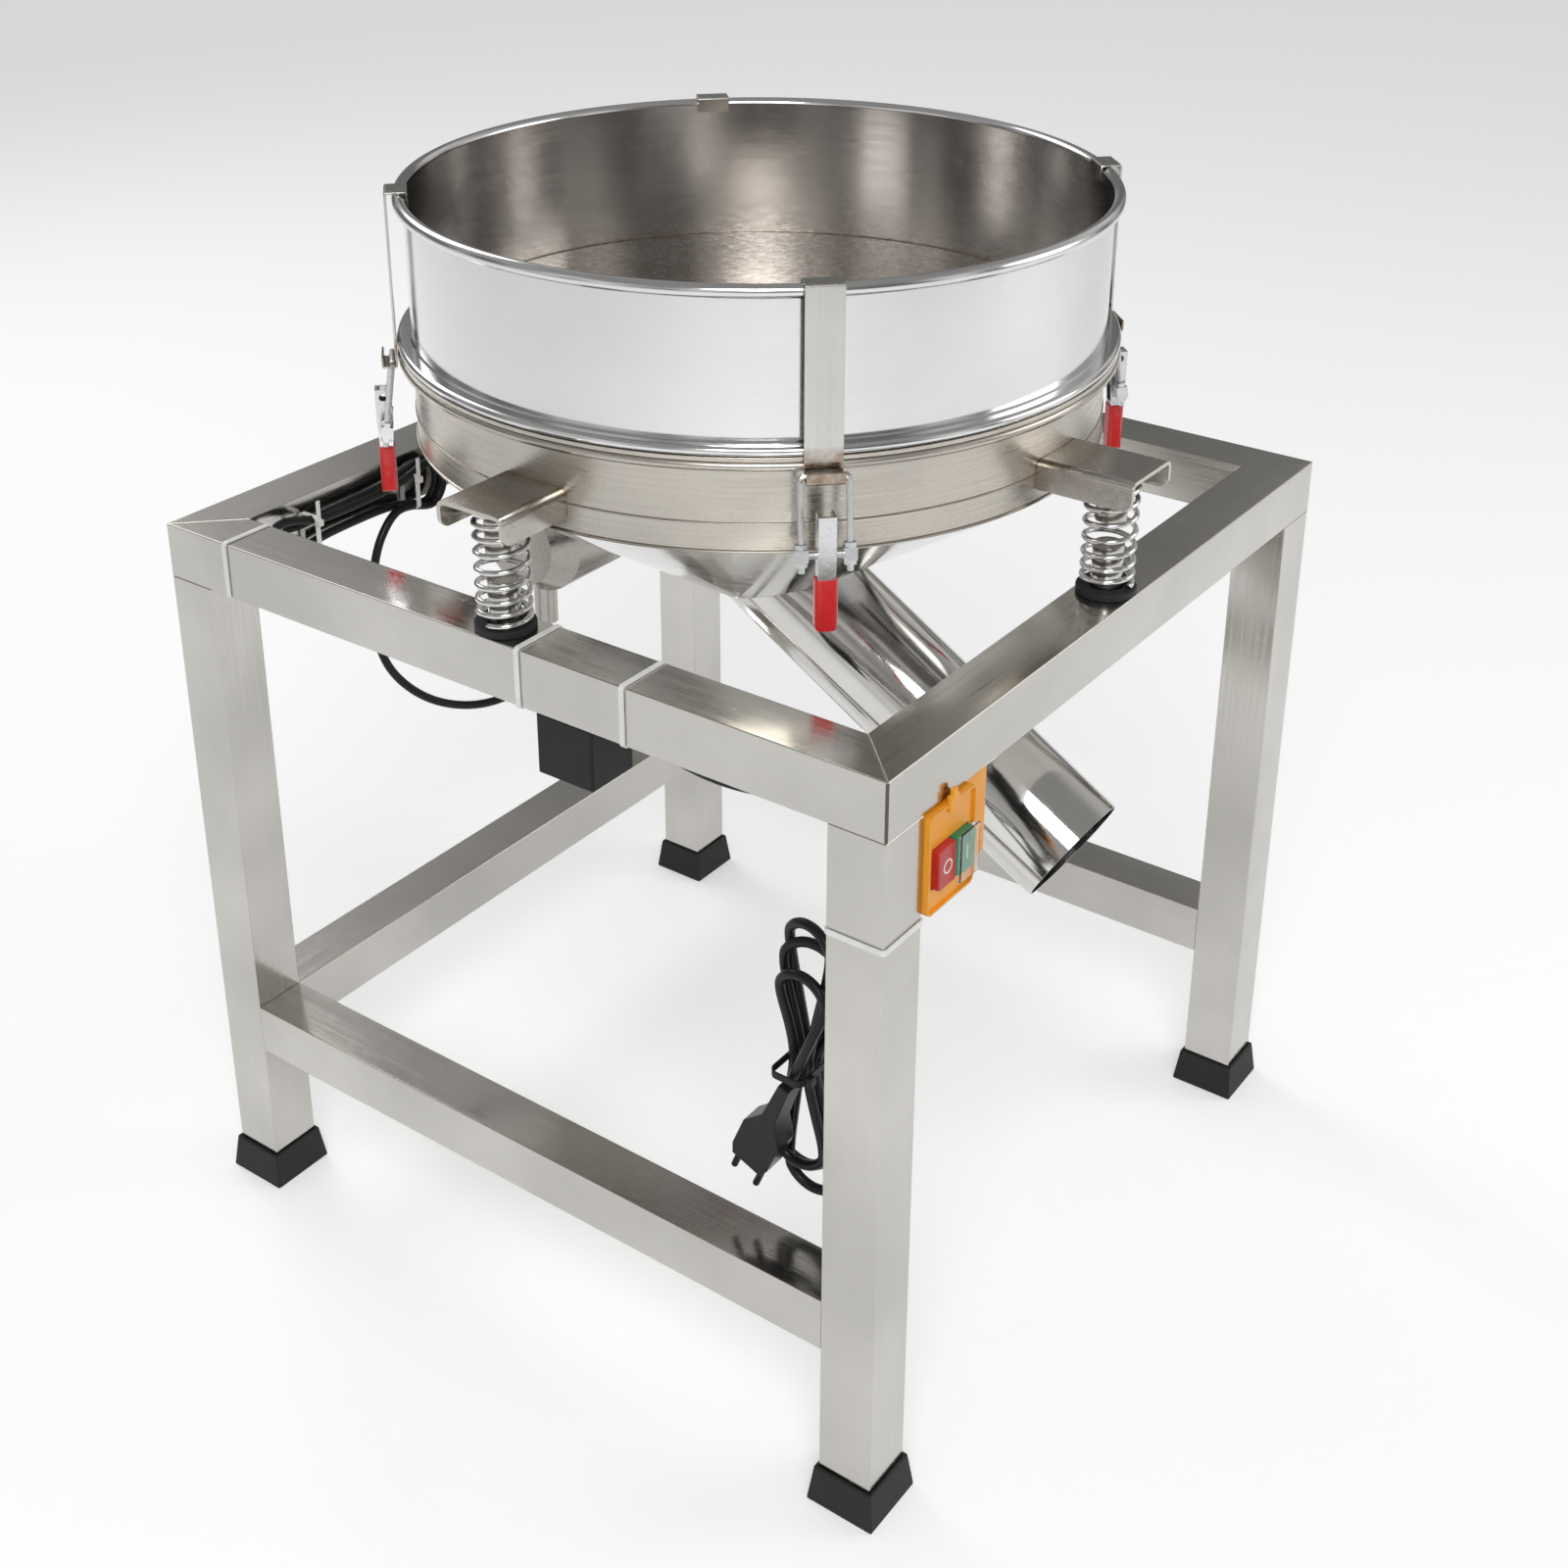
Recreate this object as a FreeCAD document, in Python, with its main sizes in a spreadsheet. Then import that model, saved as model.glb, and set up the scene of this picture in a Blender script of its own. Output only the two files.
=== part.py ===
"""Small vibrating sieve on a tube frame.

A round hopper stands on a screen and a shallow pan.  The pan hangs on four coil springs
over a frame of square tube, and a slanted chute under it lets the sifted powder out at
the front.  Millimetres; +Z is up, the chute points to -Y, and the origin lies on the
floor under the middle of the frame.
"""
import FreeCAD, Part
import math
import os
import re
import Sketcher

V = FreeCAD.Vector
Rotation = FreeCAD.Rotation
Placement = FreeCAD.Placement
X_AXIS, Y_AXIS, Z_AXIS = V(1, 0, 0), V(0, 1, 0), V(0, 0, 1)

doc = FreeCAD.newDocument("VibratingSieve")
sheet = doc.addObject("Spreadsheet::Sheet", "Sizes")
NODES = []


# ---------------------------------------------------------------- sizes
# Every driving length, in millimetres.
LENGTHS = {
    "frame_width": 580,  # outer size of the frame along X
    "frame_depth": 600,  # outer size of the frame along Y
    "frame_height": 560,  # top face of the top rails
    "tube": 40,  # side of the square tube
    "tube_wall": 1.5,  # wall of the square tube
    "lower_rail_top": 168,  # top face of the lower rails
    "foot_height": 28,  # height of a rubber foot
    "foot_base": 5,  # rubber under the end of a leg
    "foot_wall": 2.5,  # rubber around a leg at the top of the foot
    "foot_flare": 3.5,  # how far the foot spreads at the floor, each side

    "spring_wire": 4,  # wire of a spring
    "spring_outside": 37,  # outer diameter of a spring
    "spring_length": 82,  # length of a spring at rest
    "pad_thickness": 5,  # rubber pad under a spring
    "pad_diameter": 40,  # rubber pad under a spring
    "stud_diameter": 21,  # guide studs inside a spring
    "lower_stud": 34,  # height of the guide stud on the rail
    "upper_stud": 36,  # length of the guide stud under a bracket
    "running_gap": 0.3,  # clearance between pieces that move or seat on each other

    "bracket_width": 54,  # width of a spring bracket
    "bracket_sheet": 3,  # sheet of a spring bracket
    "bracket_flange": 20,  # depth of the folded sides of a bracket
    "bracket_nose": 8,  # corner radius of the free end of a folded side
    "bracket_bend": 6,  # outer bend radius of a bracket
    "bracket_overhang": 27,  # bracket beyond the middle of its spring

    "pan_inset": 50,  # pan and hopper walls inside the left and right sides of the frame
    "pan_rise": 60,  # joint of the pan wall and the cone above the frame
    "pan_depth": 63.5,  # pan wall with its flange
    "sheet_wall": 2,  # sheet of pan, cone and hopper
    "flange_reach": 10,  # how far the flanges stand out of the walls
    "flange_height": 6.5,  # thickness of the rolled flanges
    "screen_ring": 3,  # thickness of the screen ring
    "screen_mesh": 1,  # thickness of the stretched mesh
    "hopper_depth": 105.5,  # hopper from the screen ring to the top of its rim
    "rim_radius": 4.5,  # radius of the rolled rim

    "chute_diameter": 86,  # outer diameter of the chute tube
    "chute_wall": 1.5,  # wall of the chute tube
    "chute_drop": 102,  # meeting point of the chute axis and the cone axis below the pan
    "chute_length": 314,  # length of the chute along its axis
    "cone_tip_drop": 1,  # cone tip below the underside of the chute tube

    "motor_inset": 54,  # motor axis inside the pan wall at the back
    "motor_drop": 130,  # motor axis below the pan
    "motor_radius": 45,  # radius of the motor housing
    "motor_length": 116,  # length of the motor over its end covers
    "motor_wall": 5,  # wall of the motor housing
    "cover_length": 20,  # length of an end cover
    "cover_end_radius": 33,  # radius of an end cover at its outer face
    "mount_width": 70,  # mounting plate along X
    "mount_depth": 64,  # mounting plate along Y
    "mount_plate": 5,  # thickness of mounting plate and motor foot
    "mount_root": 9,  # how far the motor foot reaches into the round housing
    "shaft_radius": 7,  # radius of the motor shaft
    "rotor_radius": 26,  # radius of the rotor core
    "rotor_length": 50,  # length of the rotor core
    "weight_gap": 2,  # gap between the core and an eccentric weight
    "weight_radius": 32,  # radius of the eccentric weights
    "weight_thickness": 10,  # thickness of one eccentric weight

    "latch_pivot_reach": 22,  # lever pivot outside the pan wall
    "latch_rise": 29,  # lever pivots above the bottom of the pan
    "latch_pin": 5,  # diameter of the pivot pin
    "ear_sheet": 2,  # sheet of the latch base
    "ear_radius": 8,  # radius of an ear round the pivot pin
    "ear_tip": 5.6,  # ear beyond the middle of the pivot pin
    "base_height": 37.5,  # back plate of a latch base
    "base_below": 26.5,  # back plate below the pivot
    "base_width": 26,  # back plate of a latch base
    "lever_width": 11,  # width of the lever channel
    "lever_sheet": 1.5,  # sheet of the lever channel
    "lever_depth": 11,  # depth of the lever channel
    "lever_shoulder": 21.5,  # full depth of the lever below the pivot
    "lever_waist": 9,  # depth of the lever at the top of the grip
    "lever_tongue": 5.5,  # depth of the tongue inside the grip
    "lever_arm": 21,  # pivot to trunnion
    "lever_inset": 1,  # trunnion nearer to the pan than the pivot
    "lever_reach": 70,  # pivot to the end of the grip
    "grip_length": 34,  # length of the red grip
    "grip_width": 14.5,  # width of the red grip
    "grip_depth": 11,  # depth of the red grip
    "grip_corner": 3.8,  # rounded corners of the grip
    "bolt_wire": 4,  # wire of the U bolt
    "bolt_spacing": 30,  # distance between the arms of the U bolt
    "bolt_tail": 11,  # threaded end below the trunnion
    "trunnion_pin": 5,  # diameter of the trunnion pin
    "bolt_bend": 3,  # bend radius of the U bolt, to the middle of its wire
    "lug_size": 8,  # trunnion lug that an arm passes through
    "nut_across": 7,  # nut across its flats
    "nut_thickness": 3,  # thickness of a nut

    "strap_width": 24,  # width of a clamp strap
    "strap_fold": 1.8,  # outer bend radius of a strap
    "strap_rise": 52,  # lowest point of the hook of a strap above the bottom of the pan
    "strap_sheet": 1.5,  # sheet of a clamp strap
    "hook_play": 0.6,  # U bar above the floor of the hook, for the dead point of the latch
    "hook_gap": 7.6,  # clear width of the hook
    "hook_lip": 6.5,  # height of the hook lip
    "strap_return": 10,  # length of the strap inside the rim

    "switch_width": 74,  # black switch housing along X
    "switch_tall": 62,  # black switch housing along Z
    "switch_deep": 42,  # black switch housing along Y
    "switch_inset": 3,  # housing behind the front face of the frame
    "plate_width": 52,  # yellow switch plate
    "plate_tall": 68,  # yellow switch plate
    "plate_thick": 5,  # yellow switch plate
    "plate_corner": 5,  # corner radius of the yellow plate
    "button_width": 19,  # width of a push button
    "button_tall": 27,  # height of a push button
    "button_out": 5,  # button in front of the yellow plate
    "button_travel": 3,  # travel of a push button
    "button_gap": 1,  # gap between the buttons
    "button_low": 4,  # button middle below the plate middle
    "box_width": 40,  # junction box along X
    "box_deep": 45,  # junction box along Y
    "box_tall": 42,  # junction box along Z
    "box_front": 85,  # front face of the junction box in front of the middle of its rail
    "box_notch": 11,  # radius of the half-round notch of the junction box
    "notch_depth": 21.5,  # depth of the notch
    "notch_offset": 4,  # middle of the notch to the right of the middle of the box
    "box_corner": 2,  # corner radius of the junction box
    "plate_drop": 2,  # top of the yellow plate below the rail
    "button_root": 4,  # button behind the front face of the housing
    "well_floor": 8,  # depth of the button well

    "cord_diameter": 7,  # mains lead
    "cable_diameter": 6.5,  # cables of the motor and the switch
    "cable_side": 25,  # switch cable to the right of the left side of the housing
    "cable_drop": 21,  # switch cable below the top of the housing
    "gland_length": 22,  # tapered gland of the mains lead
    "gland_radius": 8,  # top of the tapered gland
    "gland_tip": 5.1,  # lower end of the tapered gland, as a radius
    "gland_side": 37,  # gland from the left side of the switch housing
    "gland_back": 27,  # gland behind the front of the switch housing
    "hank_inset": 18,  # middle of the folded lead nearer to the leg than the gland
    "hank_back": 63,  # middle of the folded lead behind the gland
    "hank_tie": 140,  # tie of the folded lead below the gland
    "hank_upper": 104,  # folded lead above its tie
    "hank_lower": 106,  # folded lead below its tie
    "hank_belly": 52,  # start of the widest stretch of a lobe, from the tie
    "hank_shoulder": 84,  # end of the widest stretch of a lobe, from the tie
    "hank_crown": 25,  # width of a lobe at its end
    "hank_width": 50,  # widest part of the folded lead
    "hank_waist": 26,  # width of the folded lead at its tie
    "hank_depth": 20,  # thickness of the folded lead
    "tie_height": 20,  # stretch of the folded lead that its tie holds together
    "tie_overhang": 17,  # how far the tied stretch reaches round the neck of the plug
    "plug_length": 80,  # plug with its neck, without pins
    "plug_neck": 32,  # length of the tapered neck of the plug
    "plug_neck_top": 8.4,  # width of the neck at the tie
    "plug_neck_low": 11.2,  # width of the neck where it meets the body
    "plug_shoulder": 48,  # start of the full width of the plug, from the tie
    "plug_nose": 72,  # end of the full width of the plug, from the tie
    "plug_face": 24,  # width of the plug at its pins
    "plug_side": 1,  # gap between the plug and the folded lead
    "plug_hold": 2,  # how far the neck reaches up into the tie
    "plug_width": 30,  # width of the plug
    "plug_depth": 18,  # thickness of the plug
    "pin_diameter": 4.8,  # pin of the plug
    "pin_length": 19,  # pin of the plug
    "pin_root": 2,  # pin inside the plug
    "pin_spacing": 19,  # distance between the two pins
    "bundle_left": 205,  # left end of the tied motor cable, from the middle
    "bundle_right": 70,  # right end of the tied motor cable, from the middle
    "bundle_top": 4,  # tied motor cable below the top of the rail
    "bundle_tall": 40,  # height of the tied motor cable
    "bundle_depth": 18,  # thickness of the tied motor cable
    "motor_gland_side": 30,  # cable gland of the motor, left of the middle
    "motor_gland_length": 30,  # cable gland below the motor housing
    "motor_gland_radius": 9,  # cable gland of the motor
    "cable_entry": 15,  # how far the motor cable reaches into its gland
    "cord_grid": 1,  # grid on which the cord routes are laid out
    "cut_over": 1,  # overrun of a cut past the face it starts from
}
ANGLES = {
    "chute_slope": 31,  # slope of the chute below the level
    "plug_lean": 22,  # lean of the hanging plug
}
COUNTS = {
    "spring_turns": 8.5,  # turns of a spring
    "wire_pieces": 10,  # straight pieces of wire in a turn of a spring
    "rim_chords": 6,  # flats round the rolled rim
    "bend_steps": 3,  # flats in a bend of a U bolt
    "pad_flats": 24,  # flats round a rubber pad
    "nut_flats": 6,  # flats of a nut
    "spring_flats": 6,  # flats round the wire of a spring
    "bolt_flats": 8,  # flats round the wire of a U bolt
}
# Sizes that follow from the frame.
DERIVED = {
    "pan_radius": "frame_width / 2 - pan_inset",
    "motor_back": "pan_radius - motor_inset",
    "bracket_top": "frame_height + pad_thickness + spring_length + bracket_sheet",
    "pan_bottom": "frame_height + pan_rise",
    "pan_flange_top": "pan_bottom + pan_depth",
    "hopper_top": "pan_flange_top + screen_ring + hopper_depth",
    "chute_start": "pan_bottom - chute_drop",
    "motor_height": "pan_bottom - motor_drop",
    "latch_pivot_height": "pan_bottom + latch_rise",
    "strap_bottom": "pan_bottom + strap_rise",
}
SIZES = {**LENGTHS, **ANGLES, **COUNTS, **DERIVED}


def fill_sheet():
    """Writes every size into the sheet under its own name."""
    for row, (name, entry) in enumerate(SIZES.items(), start=1):
        sheet.set(f"A{row}", name)
        sheet.set(f"B{row}", f"={entry}")
        sheet.setAlias(f"B{row}", name)
    doc.recompute()


def formula(text):
    """Puts the sheet's name before every size that a formula mentions."""
    return re.sub(r"[a-z_]{4,}", lambda word: named(word.group()), text)


def named(word):
    return f"Sizes.{word}" if word in SIZES else word


def value(text):
    """Works a formula out from the sheet."""
    return float(sheet.evalExpression(formula(text)))


def bind(thing, field, text):
    thing.setExpression(field, formula(text))


fill_sheet()


# Share of the shorter run that each end of a cord's bend takes up.
CORNER_SHARE = 0.45


# ---------------------------------------------------------------- small helpers
def node(thing, name):
    """Names a finished sub-part; the name is also its file's name."""
    thing.Label = name
    NODES.append(thing)
    return thing


def at(x, y, z, rotation=Rotation()):
    return Placement(V(x, y, z), rotation)


def turned(angle):
    """A turn about the vertical axis of the sieve, in degrees."""
    return Placement(V(), Rotation(Z_AXIS, angle))


def body(name):
    return doc.addObject("PartDesign::Body", name)


def sketch(owner, role, name, height="0"):
    """An empty sketch on one of the body's own planes, moved along the plane's normal."""
    plane = next(f for f in owner.Origin.OriginFeatures if f.Role == role)
    flat = owner.newObject("Sketcher::SketchObject", name)
    flat.AttachmentSupport = [(plane, "")]
    flat.MapMode = "FlatFace"
    bind(flat, "AttachmentOffset.Base.z", height)
    return flat


def outline(flat, corners):
    """Draws a closed outline of straight lines; each corner is a pair of formulas."""
    places = [V(value(x), value(y), 0) for x, y in corners]
    first = flat.GeometryCount
    count = len(corners)
    for i in range(count):
        flat.addGeometry(Part.LineSegment(places[i], places[(i + 1) % count]))
    for i in range(count):
        follower = first + (i + 1) % count
        flat.addConstraint(Sketcher.Constraint("Coincident", first + i, 2, follower, 1))
    for i, (x, y) in enumerate(corners):
        dimension(flat, "DistanceX", (-1, 1, first + i, 1), x)
        dimension(flat, "DistanceY", (-1, 1, first + i, 1), y)


def circle(flat, x, y, radius):
    """Draws a circle whose centre and radius are formulas."""
    middle = V(value(x), value(y), 0)
    index = flat.addGeometry(Part.Circle(middle, Z_AXIS, value(radius)))
    dimension(flat, "DistanceX", (-1, 1, index, 3), x)
    dimension(flat, "DistanceY", (-1, 1, index, 3), y)
    dimension(flat, "Radius", (index,), radius)


def dimension(flat, kind, places, text):
    index = flat.addConstraint(Sketcher.Constraint(kind, *places, value(text)))
    bind(flat, f"Constraints[{index}]", text)


def rectangle(flat, left, right, low, high):
    outline(flat, [(left, low), (right, low), (right, high), (left, high)])


def pad(owner, flat, length, both=False):
    step = owner.newObject("PartDesign::Pad", "Pad")
    step.Profile = flat
    bind(step, "Length", length)
    step.SideType = "Symmetric" if both else "One side"
    return step


def pocket(owner, flat, length, both=False, reverse=False):
    """Cuts a pocket and makes sure that it takes something away."""
    doc.recompute()
    before = owner.Shape.Volume
    step = owner.newObject("PartDesign::Pocket", "Pocket")
    step.Profile = flat
    bind(step, "Length", length)
    step.SideType = "Symmetric" if both else "One side"
    step.Reversed = reverse
    doc.recompute()
    if owner.Shape.Volume > before - 1e-6:
        raise ValueError(f"a pocket in {owner.Name} cuts nothing")
    return step


def revolution(owner, flat, axis="V_Axis"):
    step = owner.newObject("PartDesign::Revolution", "Revolution")
    step.Profile = flat
    step.ReferenceAxis = (flat, [axis])
    step.Angle = 360
    return step


def rounded(owner, step, radius, keep):
    """Fillets the edges of a feature that the test picks out."""
    doc.recompute()
    edges = [f"Edge{i + 1}" for i, edge in enumerate(step.Shape.Edges) if keep(edge)]
    fillet = owner.newObject("PartDesign::Fillet", "Fillet")
    fillet.Base = (step, edges)
    bind(fillet, "Radius", radius)
    doc.recompute()
    return fillet


def along(axis):
    """Picks the straight edges that run along an axis."""
    def test(edge):
        if not isinstance(edge.Curve, Part.Line):
            return False
        return abs(edge.Curve.Direction.dot(axis)) > 0.999
    return test


def box(name, left, right, front, back, low, high):
    """A Part box between six planes."""
    block = doc.addObject("Part::Box", name)
    bind(block, "Length", f"({right}) - ({left})")
    bind(block, "Width", f"({back}) - ({front})")
    bind(block, "Height", f"({high}) - ({low})")
    bind(block, "Placement.Base.x", left)
    bind(block, "Placement.Base.y", front)
    bind(block, "Placement.Base.z", low)
    return block


def cylinder(name, radius, length, x="0", y="0", z="0", rotation=Rotation()):
    rod = doc.addObject("Part::Cylinder", name)
    rod.Placement = Placement(V(), rotation)
    bind(rod, "Radius", radius)
    bind(rod, "Height", length)
    bind(rod, "Placement.Base.x", x)
    bind(rod, "Placement.Base.y", y)
    bind(rod, "Placement.Base.z", z)
    return rod


def prism(name, radius, height, low, flats_round):
    """An upright prism about its own middle; radius is to its corners."""
    block = doc.addObject("Part::Prism", name)
    block.Polygon = COUNTS[flats_round]
    bind(block, "Circumradius", radius)
    bind(block, "Height", height)
    bind(block, "Placement.Base.z", low)
    return block


def cut(name, base, tool):
    result = doc.addObject("Part::Cut", name)
    result.Base = base
    result.Tool = tool
    return result


def fused(name, pieces):
    result = doc.addObject("Part::MultiFuse", name)
    result.Shapes = pieces
    return result


def flats(diameter, count):
    """A regular section with the area of a round wire, as corner offsets in a plane."""
    area = math.pi * diameter ** 2 / 4
    reach = math.sqrt(2 * area / (count * math.sin(2 * math.pi / count)))
    return [(reach * math.cos(2 * math.pi * k / count), reach * math.sin(2 * math.pi * k / count))
            for k in range(count + 1)]


def swept(route, section):
    """Runs a section along straight pieces, with mitred corners; it starts along +Z or +Y."""
    start = route[0]
    first = route[1] - start
    upright = abs(first.z) > abs(first.y)
    corners = [start + (V(a, b, 0) if upright else V(a, 0, b)) for a, b in section]
    return Part.makePolygon(route).makePipeShell([Part.makePolygon(corners)], True, False, 1)


ALONG_Y = Rotation(X_AXIS, -90)

# Formulas that several sub-parts share.
HALF_WIDTH = "frame_width / 2"
HALF_DEPTH = "frame_depth / 2"
RAIL_BOTTOM = "(frame_height - tube)"
SIDE_CENTRE = "(frame_width / 2 - tube / 2)"
END_CENTRE = "(frame_depth / 2 - tube / 2)"
SPRING_LOW = "(frame_height + pad_thickness)"
SPRING_HIGH = "(bracket_top - bracket_sheet)"
SPRING_RADIUS = "((spring_outside - spring_wire) / 2)"
FLANGE_RADIUS = "(pan_radius + flange_reach)"
HOPPER_LOW = "(pan_flange_top + screen_ring)"

SIDES = {"left": (180, SIDE_CENTRE), "right": (0, SIDE_CENTRE),
         "front": (270, END_CENTRE), "back": (90, END_CENTRE)}
LATCHES = {"front_left": 225, "front_right": 315, "back_right": 45, "back_left": 135}
CORNERS = {"front_left": (-1, -1), "front_right": (1, -1),
           "back_right": (1, 1), "back_left": (-1, 1)}


# ---------------------------------------------------------------- frame
def top_rail(side):
    """A mitred rail of square tube with the guide stud of its spring welded on top.

    It is drawn as the rail along +Y of its side's own frame: the rail's length runs
    along the sketch's Y axis, at the reach of that side.
    """
    angle, centre = SIDES[side]
    ends = HALF_DEPTH if centre == SIDE_CENTRE else HALF_WIDTH
    reach = HALF_WIDTH if centre == SIDE_CENTRE else HALF_DEPTH
    rail = body(f"rail_{side}")

    def mitred(flat, wall):
        """A trapezium between two walls, with ends that run at 45 degrees."""
        outer = f"{reach} - {wall}"
        inner = f"{reach} - tube + {wall}"
        outline(flat, [(outer, f"-({ends} - {wall})"), (outer, f"{ends} - {wall}"),
                       (inner, f"{ends} - tube + {wall}"), (inner, f"-({ends} - tube + {wall})")])

    solid = sketch(rail, "XY_Plane", "Outside", RAIL_BOTTOM)
    mitred(solid, "0")
    pad(rail, solid, "tube")
    hollow = sketch(rail, "XY_Plane", "Inside", "frame_height - tube_wall")
    mitred(hollow, "tube_wall")
    pocket(rail, hollow, "tube - 2 * tube_wall")
    stud = sketch(rail, "XY_Plane", "Stud", "frame_height")
    circle(stud, centre, "0", "stud_diameter / 2")
    pad(rail, stud, "lower_stud")
    rail.Placement = turned(angle)
    return node(rail, f"rail_top_{side}")


def leg(corner):
    """A leg of square tube from the rubber of its foot to the top rails."""
    to_x, to_y = CORNERS[corner]
    post = body(f"leg_{corner}")
    section = sketch(post, "XY_Plane", "Section", "foot_base")
    rectangle(section, "-tube / 2", "tube / 2", "-tube / 2", "tube / 2")
    inside = "tube / 2 - tube_wall"
    rectangle(section, f"-({inside})", inside, f"-({inside})", inside)
    pad(post, section, f"{RAIL_BOTTOM} - foot_base")
    bind(post, "Placement.Base.x", f"{to_x} * {SIDE_CENTRE}")
    bind(post, "Placement.Base.y", f"{to_y} * {END_CENTRE}")
    return node(post, f"leg_{corner}")


def lower_rail(side):
    """A straight rail of square tube between two legs."""
    angle, centre = SIDES[side]
    ends = HALF_DEPTH if centre == SIDE_CENTRE else HALF_WIDTH
    rail = body(f"lower_{side}")
    section = sketch(rail, "XZ_Plane", "Section")
    high = "lower_rail_top"
    rectangle(section, f"{centre} - tube / 2", f"{centre} + tube / 2", f"{high} - tube", high)
    wall = "tube_wall"
    rectangle(section, f"{centre} - tube / 2 + {wall}", f"{centre} + tube / 2 - {wall}",
              f"{high} - tube + {wall}", f"{high} - {wall}")
    pad(rail, section, f"2 * ({ends} - tube)", both=True)
    rail.Placement = turned(angle)
    return node(rail, f"rail_low_{side}")


def foot(corner):
    """A rubber cap pushed over the end of a leg, wider at the floor."""
    to_x, to_y = CORNERS[corner]
    half = "(tube / 2 + foot_wall + foot_flare)"
    block = doc.addObject("Part::Wedge", "FootBlock")
    block.Placement = Placement(V(), ALONG_Y.inverted())
    for field, text in (("Xmin", f"-{half}"), ("Xmax", half), ("Zmin", f"-{half}"), ("Zmax", half),
                        ("X2min", f"-({half} - foot_flare)"), ("X2max", f"{half} - foot_flare"),
                        ("Z2min", f"-({half} - foot_flare)"), ("Z2max", f"{half} - foot_flare"),
                        ("Ymin", "0"), ("Ymax", "foot_height")):
        bind(block, field, text)
    socket = box("FootSocket", "-tube / 2", "tube / 2", "-tube / 2", "tube / 2",
                 "foot_base", "foot_height + foot_base")
    cap = cut(f"foot_{corner}", block, socket)
    bind(cap, "Placement.Base.x", f"{to_x} * {SIDE_CENTRE}")
    bind(cap, "Placement.Base.y", f"{to_y} * {END_CENTRE}")
    return node(cap, f"foot_{corner}")


# ---------------------------------------------------------------- springs
def spring_pad(side):
    """The rubber ring that the spring stands on, with flats round its edges."""
    angle, centre = SIDES[side]
    outside = prism("PadOutside", "pad_diameter / 2", "pad_thickness", "frame_height",
                    "pad_flats")
    bore = prism("PadBore", "stud_diameter / 2 + 2 * running_gap", "pad_thickness",
                 "frame_height", "pad_flats")
    ring = cut(f"pad_{side}", outside, bore)
    ring.Placement = turned(angle).multiply(at(value(centre), 0, 0))
    return node(ring, f"spring_pad_{side}")


def spring(side):
    """A coil spring between the rubber pad and the bracket.

    The wire has six flats with the area of the round wire, and runs in straight pieces.
    """
    angle, centre = SIDES[side]
    radius = value(SPRING_RADIUS)
    rise = value(f"{SPRING_HIGH} - {SPRING_LOW} - spring_wire")
    a_turn = COUNTS["wire_pieces"]
    pieces = round(a_turn * COUNTS["spring_turns"])
    turn = 2 * math.pi / a_turn
    route = [V(radius * math.cos(turn * i), radius * math.sin(turn * i), rise * i / pieces)
             for i in range(pieces + 1)]
    coil = doc.addObject("Part::Feature", f"spring_{side}")
    coil.Shape = swept(route, flats(value("spring_wire"), COUNTS["spring_flats"]))
    reach = V(value(centre), 0, value(f"{SPRING_LOW} + spring_wire / 2"))
    coil.Placement = turned(angle).multiply(Placement(reach, Rotation()))
    return node(coil, f"spring_{side}")


def bracket(side):
    """A folded sheet channel from the pan wall to over the spring, with its guide stud."""
    angle, centre = SIDES[side]
    channel = body(f"bracket_{side}")
    section = sketch(channel, "YZ_Plane", "Section")
    half = "bracket_width / 2"
    low = "bracket_top - bracket_flange"
    under = "bracket_top - bracket_sheet"
    inner = "bracket_width / 2 - bracket_sheet"
    outline(section, [(f"-{half}", low), (f"-{half}", "bracket_top"), (half, "bracket_top"),
                      (half, low), (inner, low), (inner, under), (f"-({inner})", under),
                      (f"-({inner})", low)])
    length = f"{centre} + bracket_overhang"
    folded = pad(channel, section, length)

    def outer_bend(edge):
        middle = edge.CenterOfMass
        high = abs(middle.z - value("bracket_top")) < 0.01
        return along(X_AXIS)(edge) and high

    def inner_bend(edge):
        middle = edge.CenterOfMass
        corner = abs(abs(middle.y) - value(inner)) < 0.01
        return along(X_AXIS)(edge) and corner and abs(middle.z - value(under)) < 0.01

    outside = rounded(channel, folded, "bracket_bend", outer_bend)
    inside = rounded(channel, outside, "bracket_bend - bracket_sheet", inner_bend)

    def free_corner(edge):
        middle = edge.CenterOfMass
        end = abs(middle.x - value(length)) < 0.01
        return along(Y_AXIS)(edge) and end and abs(middle.z - value(low)) < 0.01

    rounded(channel, inside, "bracket_nose", free_corner)
    saddle = sketch(channel, "XY_Plane", "Saddle", "bracket_top + bracket_sheet")
    circle(saddle, "0", "0", "pan_radius")
    pocket(channel, saddle, "bracket_flange * 2")
    stud = sketch(channel, "XY_Plane", "Stud", f"{under} - upper_stud")
    circle(stud, centre, "0", "stud_diameter / 2")
    pad(channel, stud, "upper_stud")
    channel.Placement = turned(angle)
    return node(channel, f"bracket_{side}")


# ---------------------------------------------------------------- pan, screen, hopper
def flange_corners(low, high):
    """The section of a wall's rolled flange, from the wall to its outer edge."""
    chamfer = "flange_height / 4"
    return [("pan_radius - sheet_wall", low), (f"{FLANGE_RADIUS} - {chamfer}", low),
            (FLANGE_RADIUS, f"{low} + {chamfer}"), (FLANGE_RADIUS, f"{high} - {chamfer}"),
            (f"{FLANGE_RADIUS} - {chamfer}", high), ("pan_radius - sheet_wall", high)]


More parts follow.
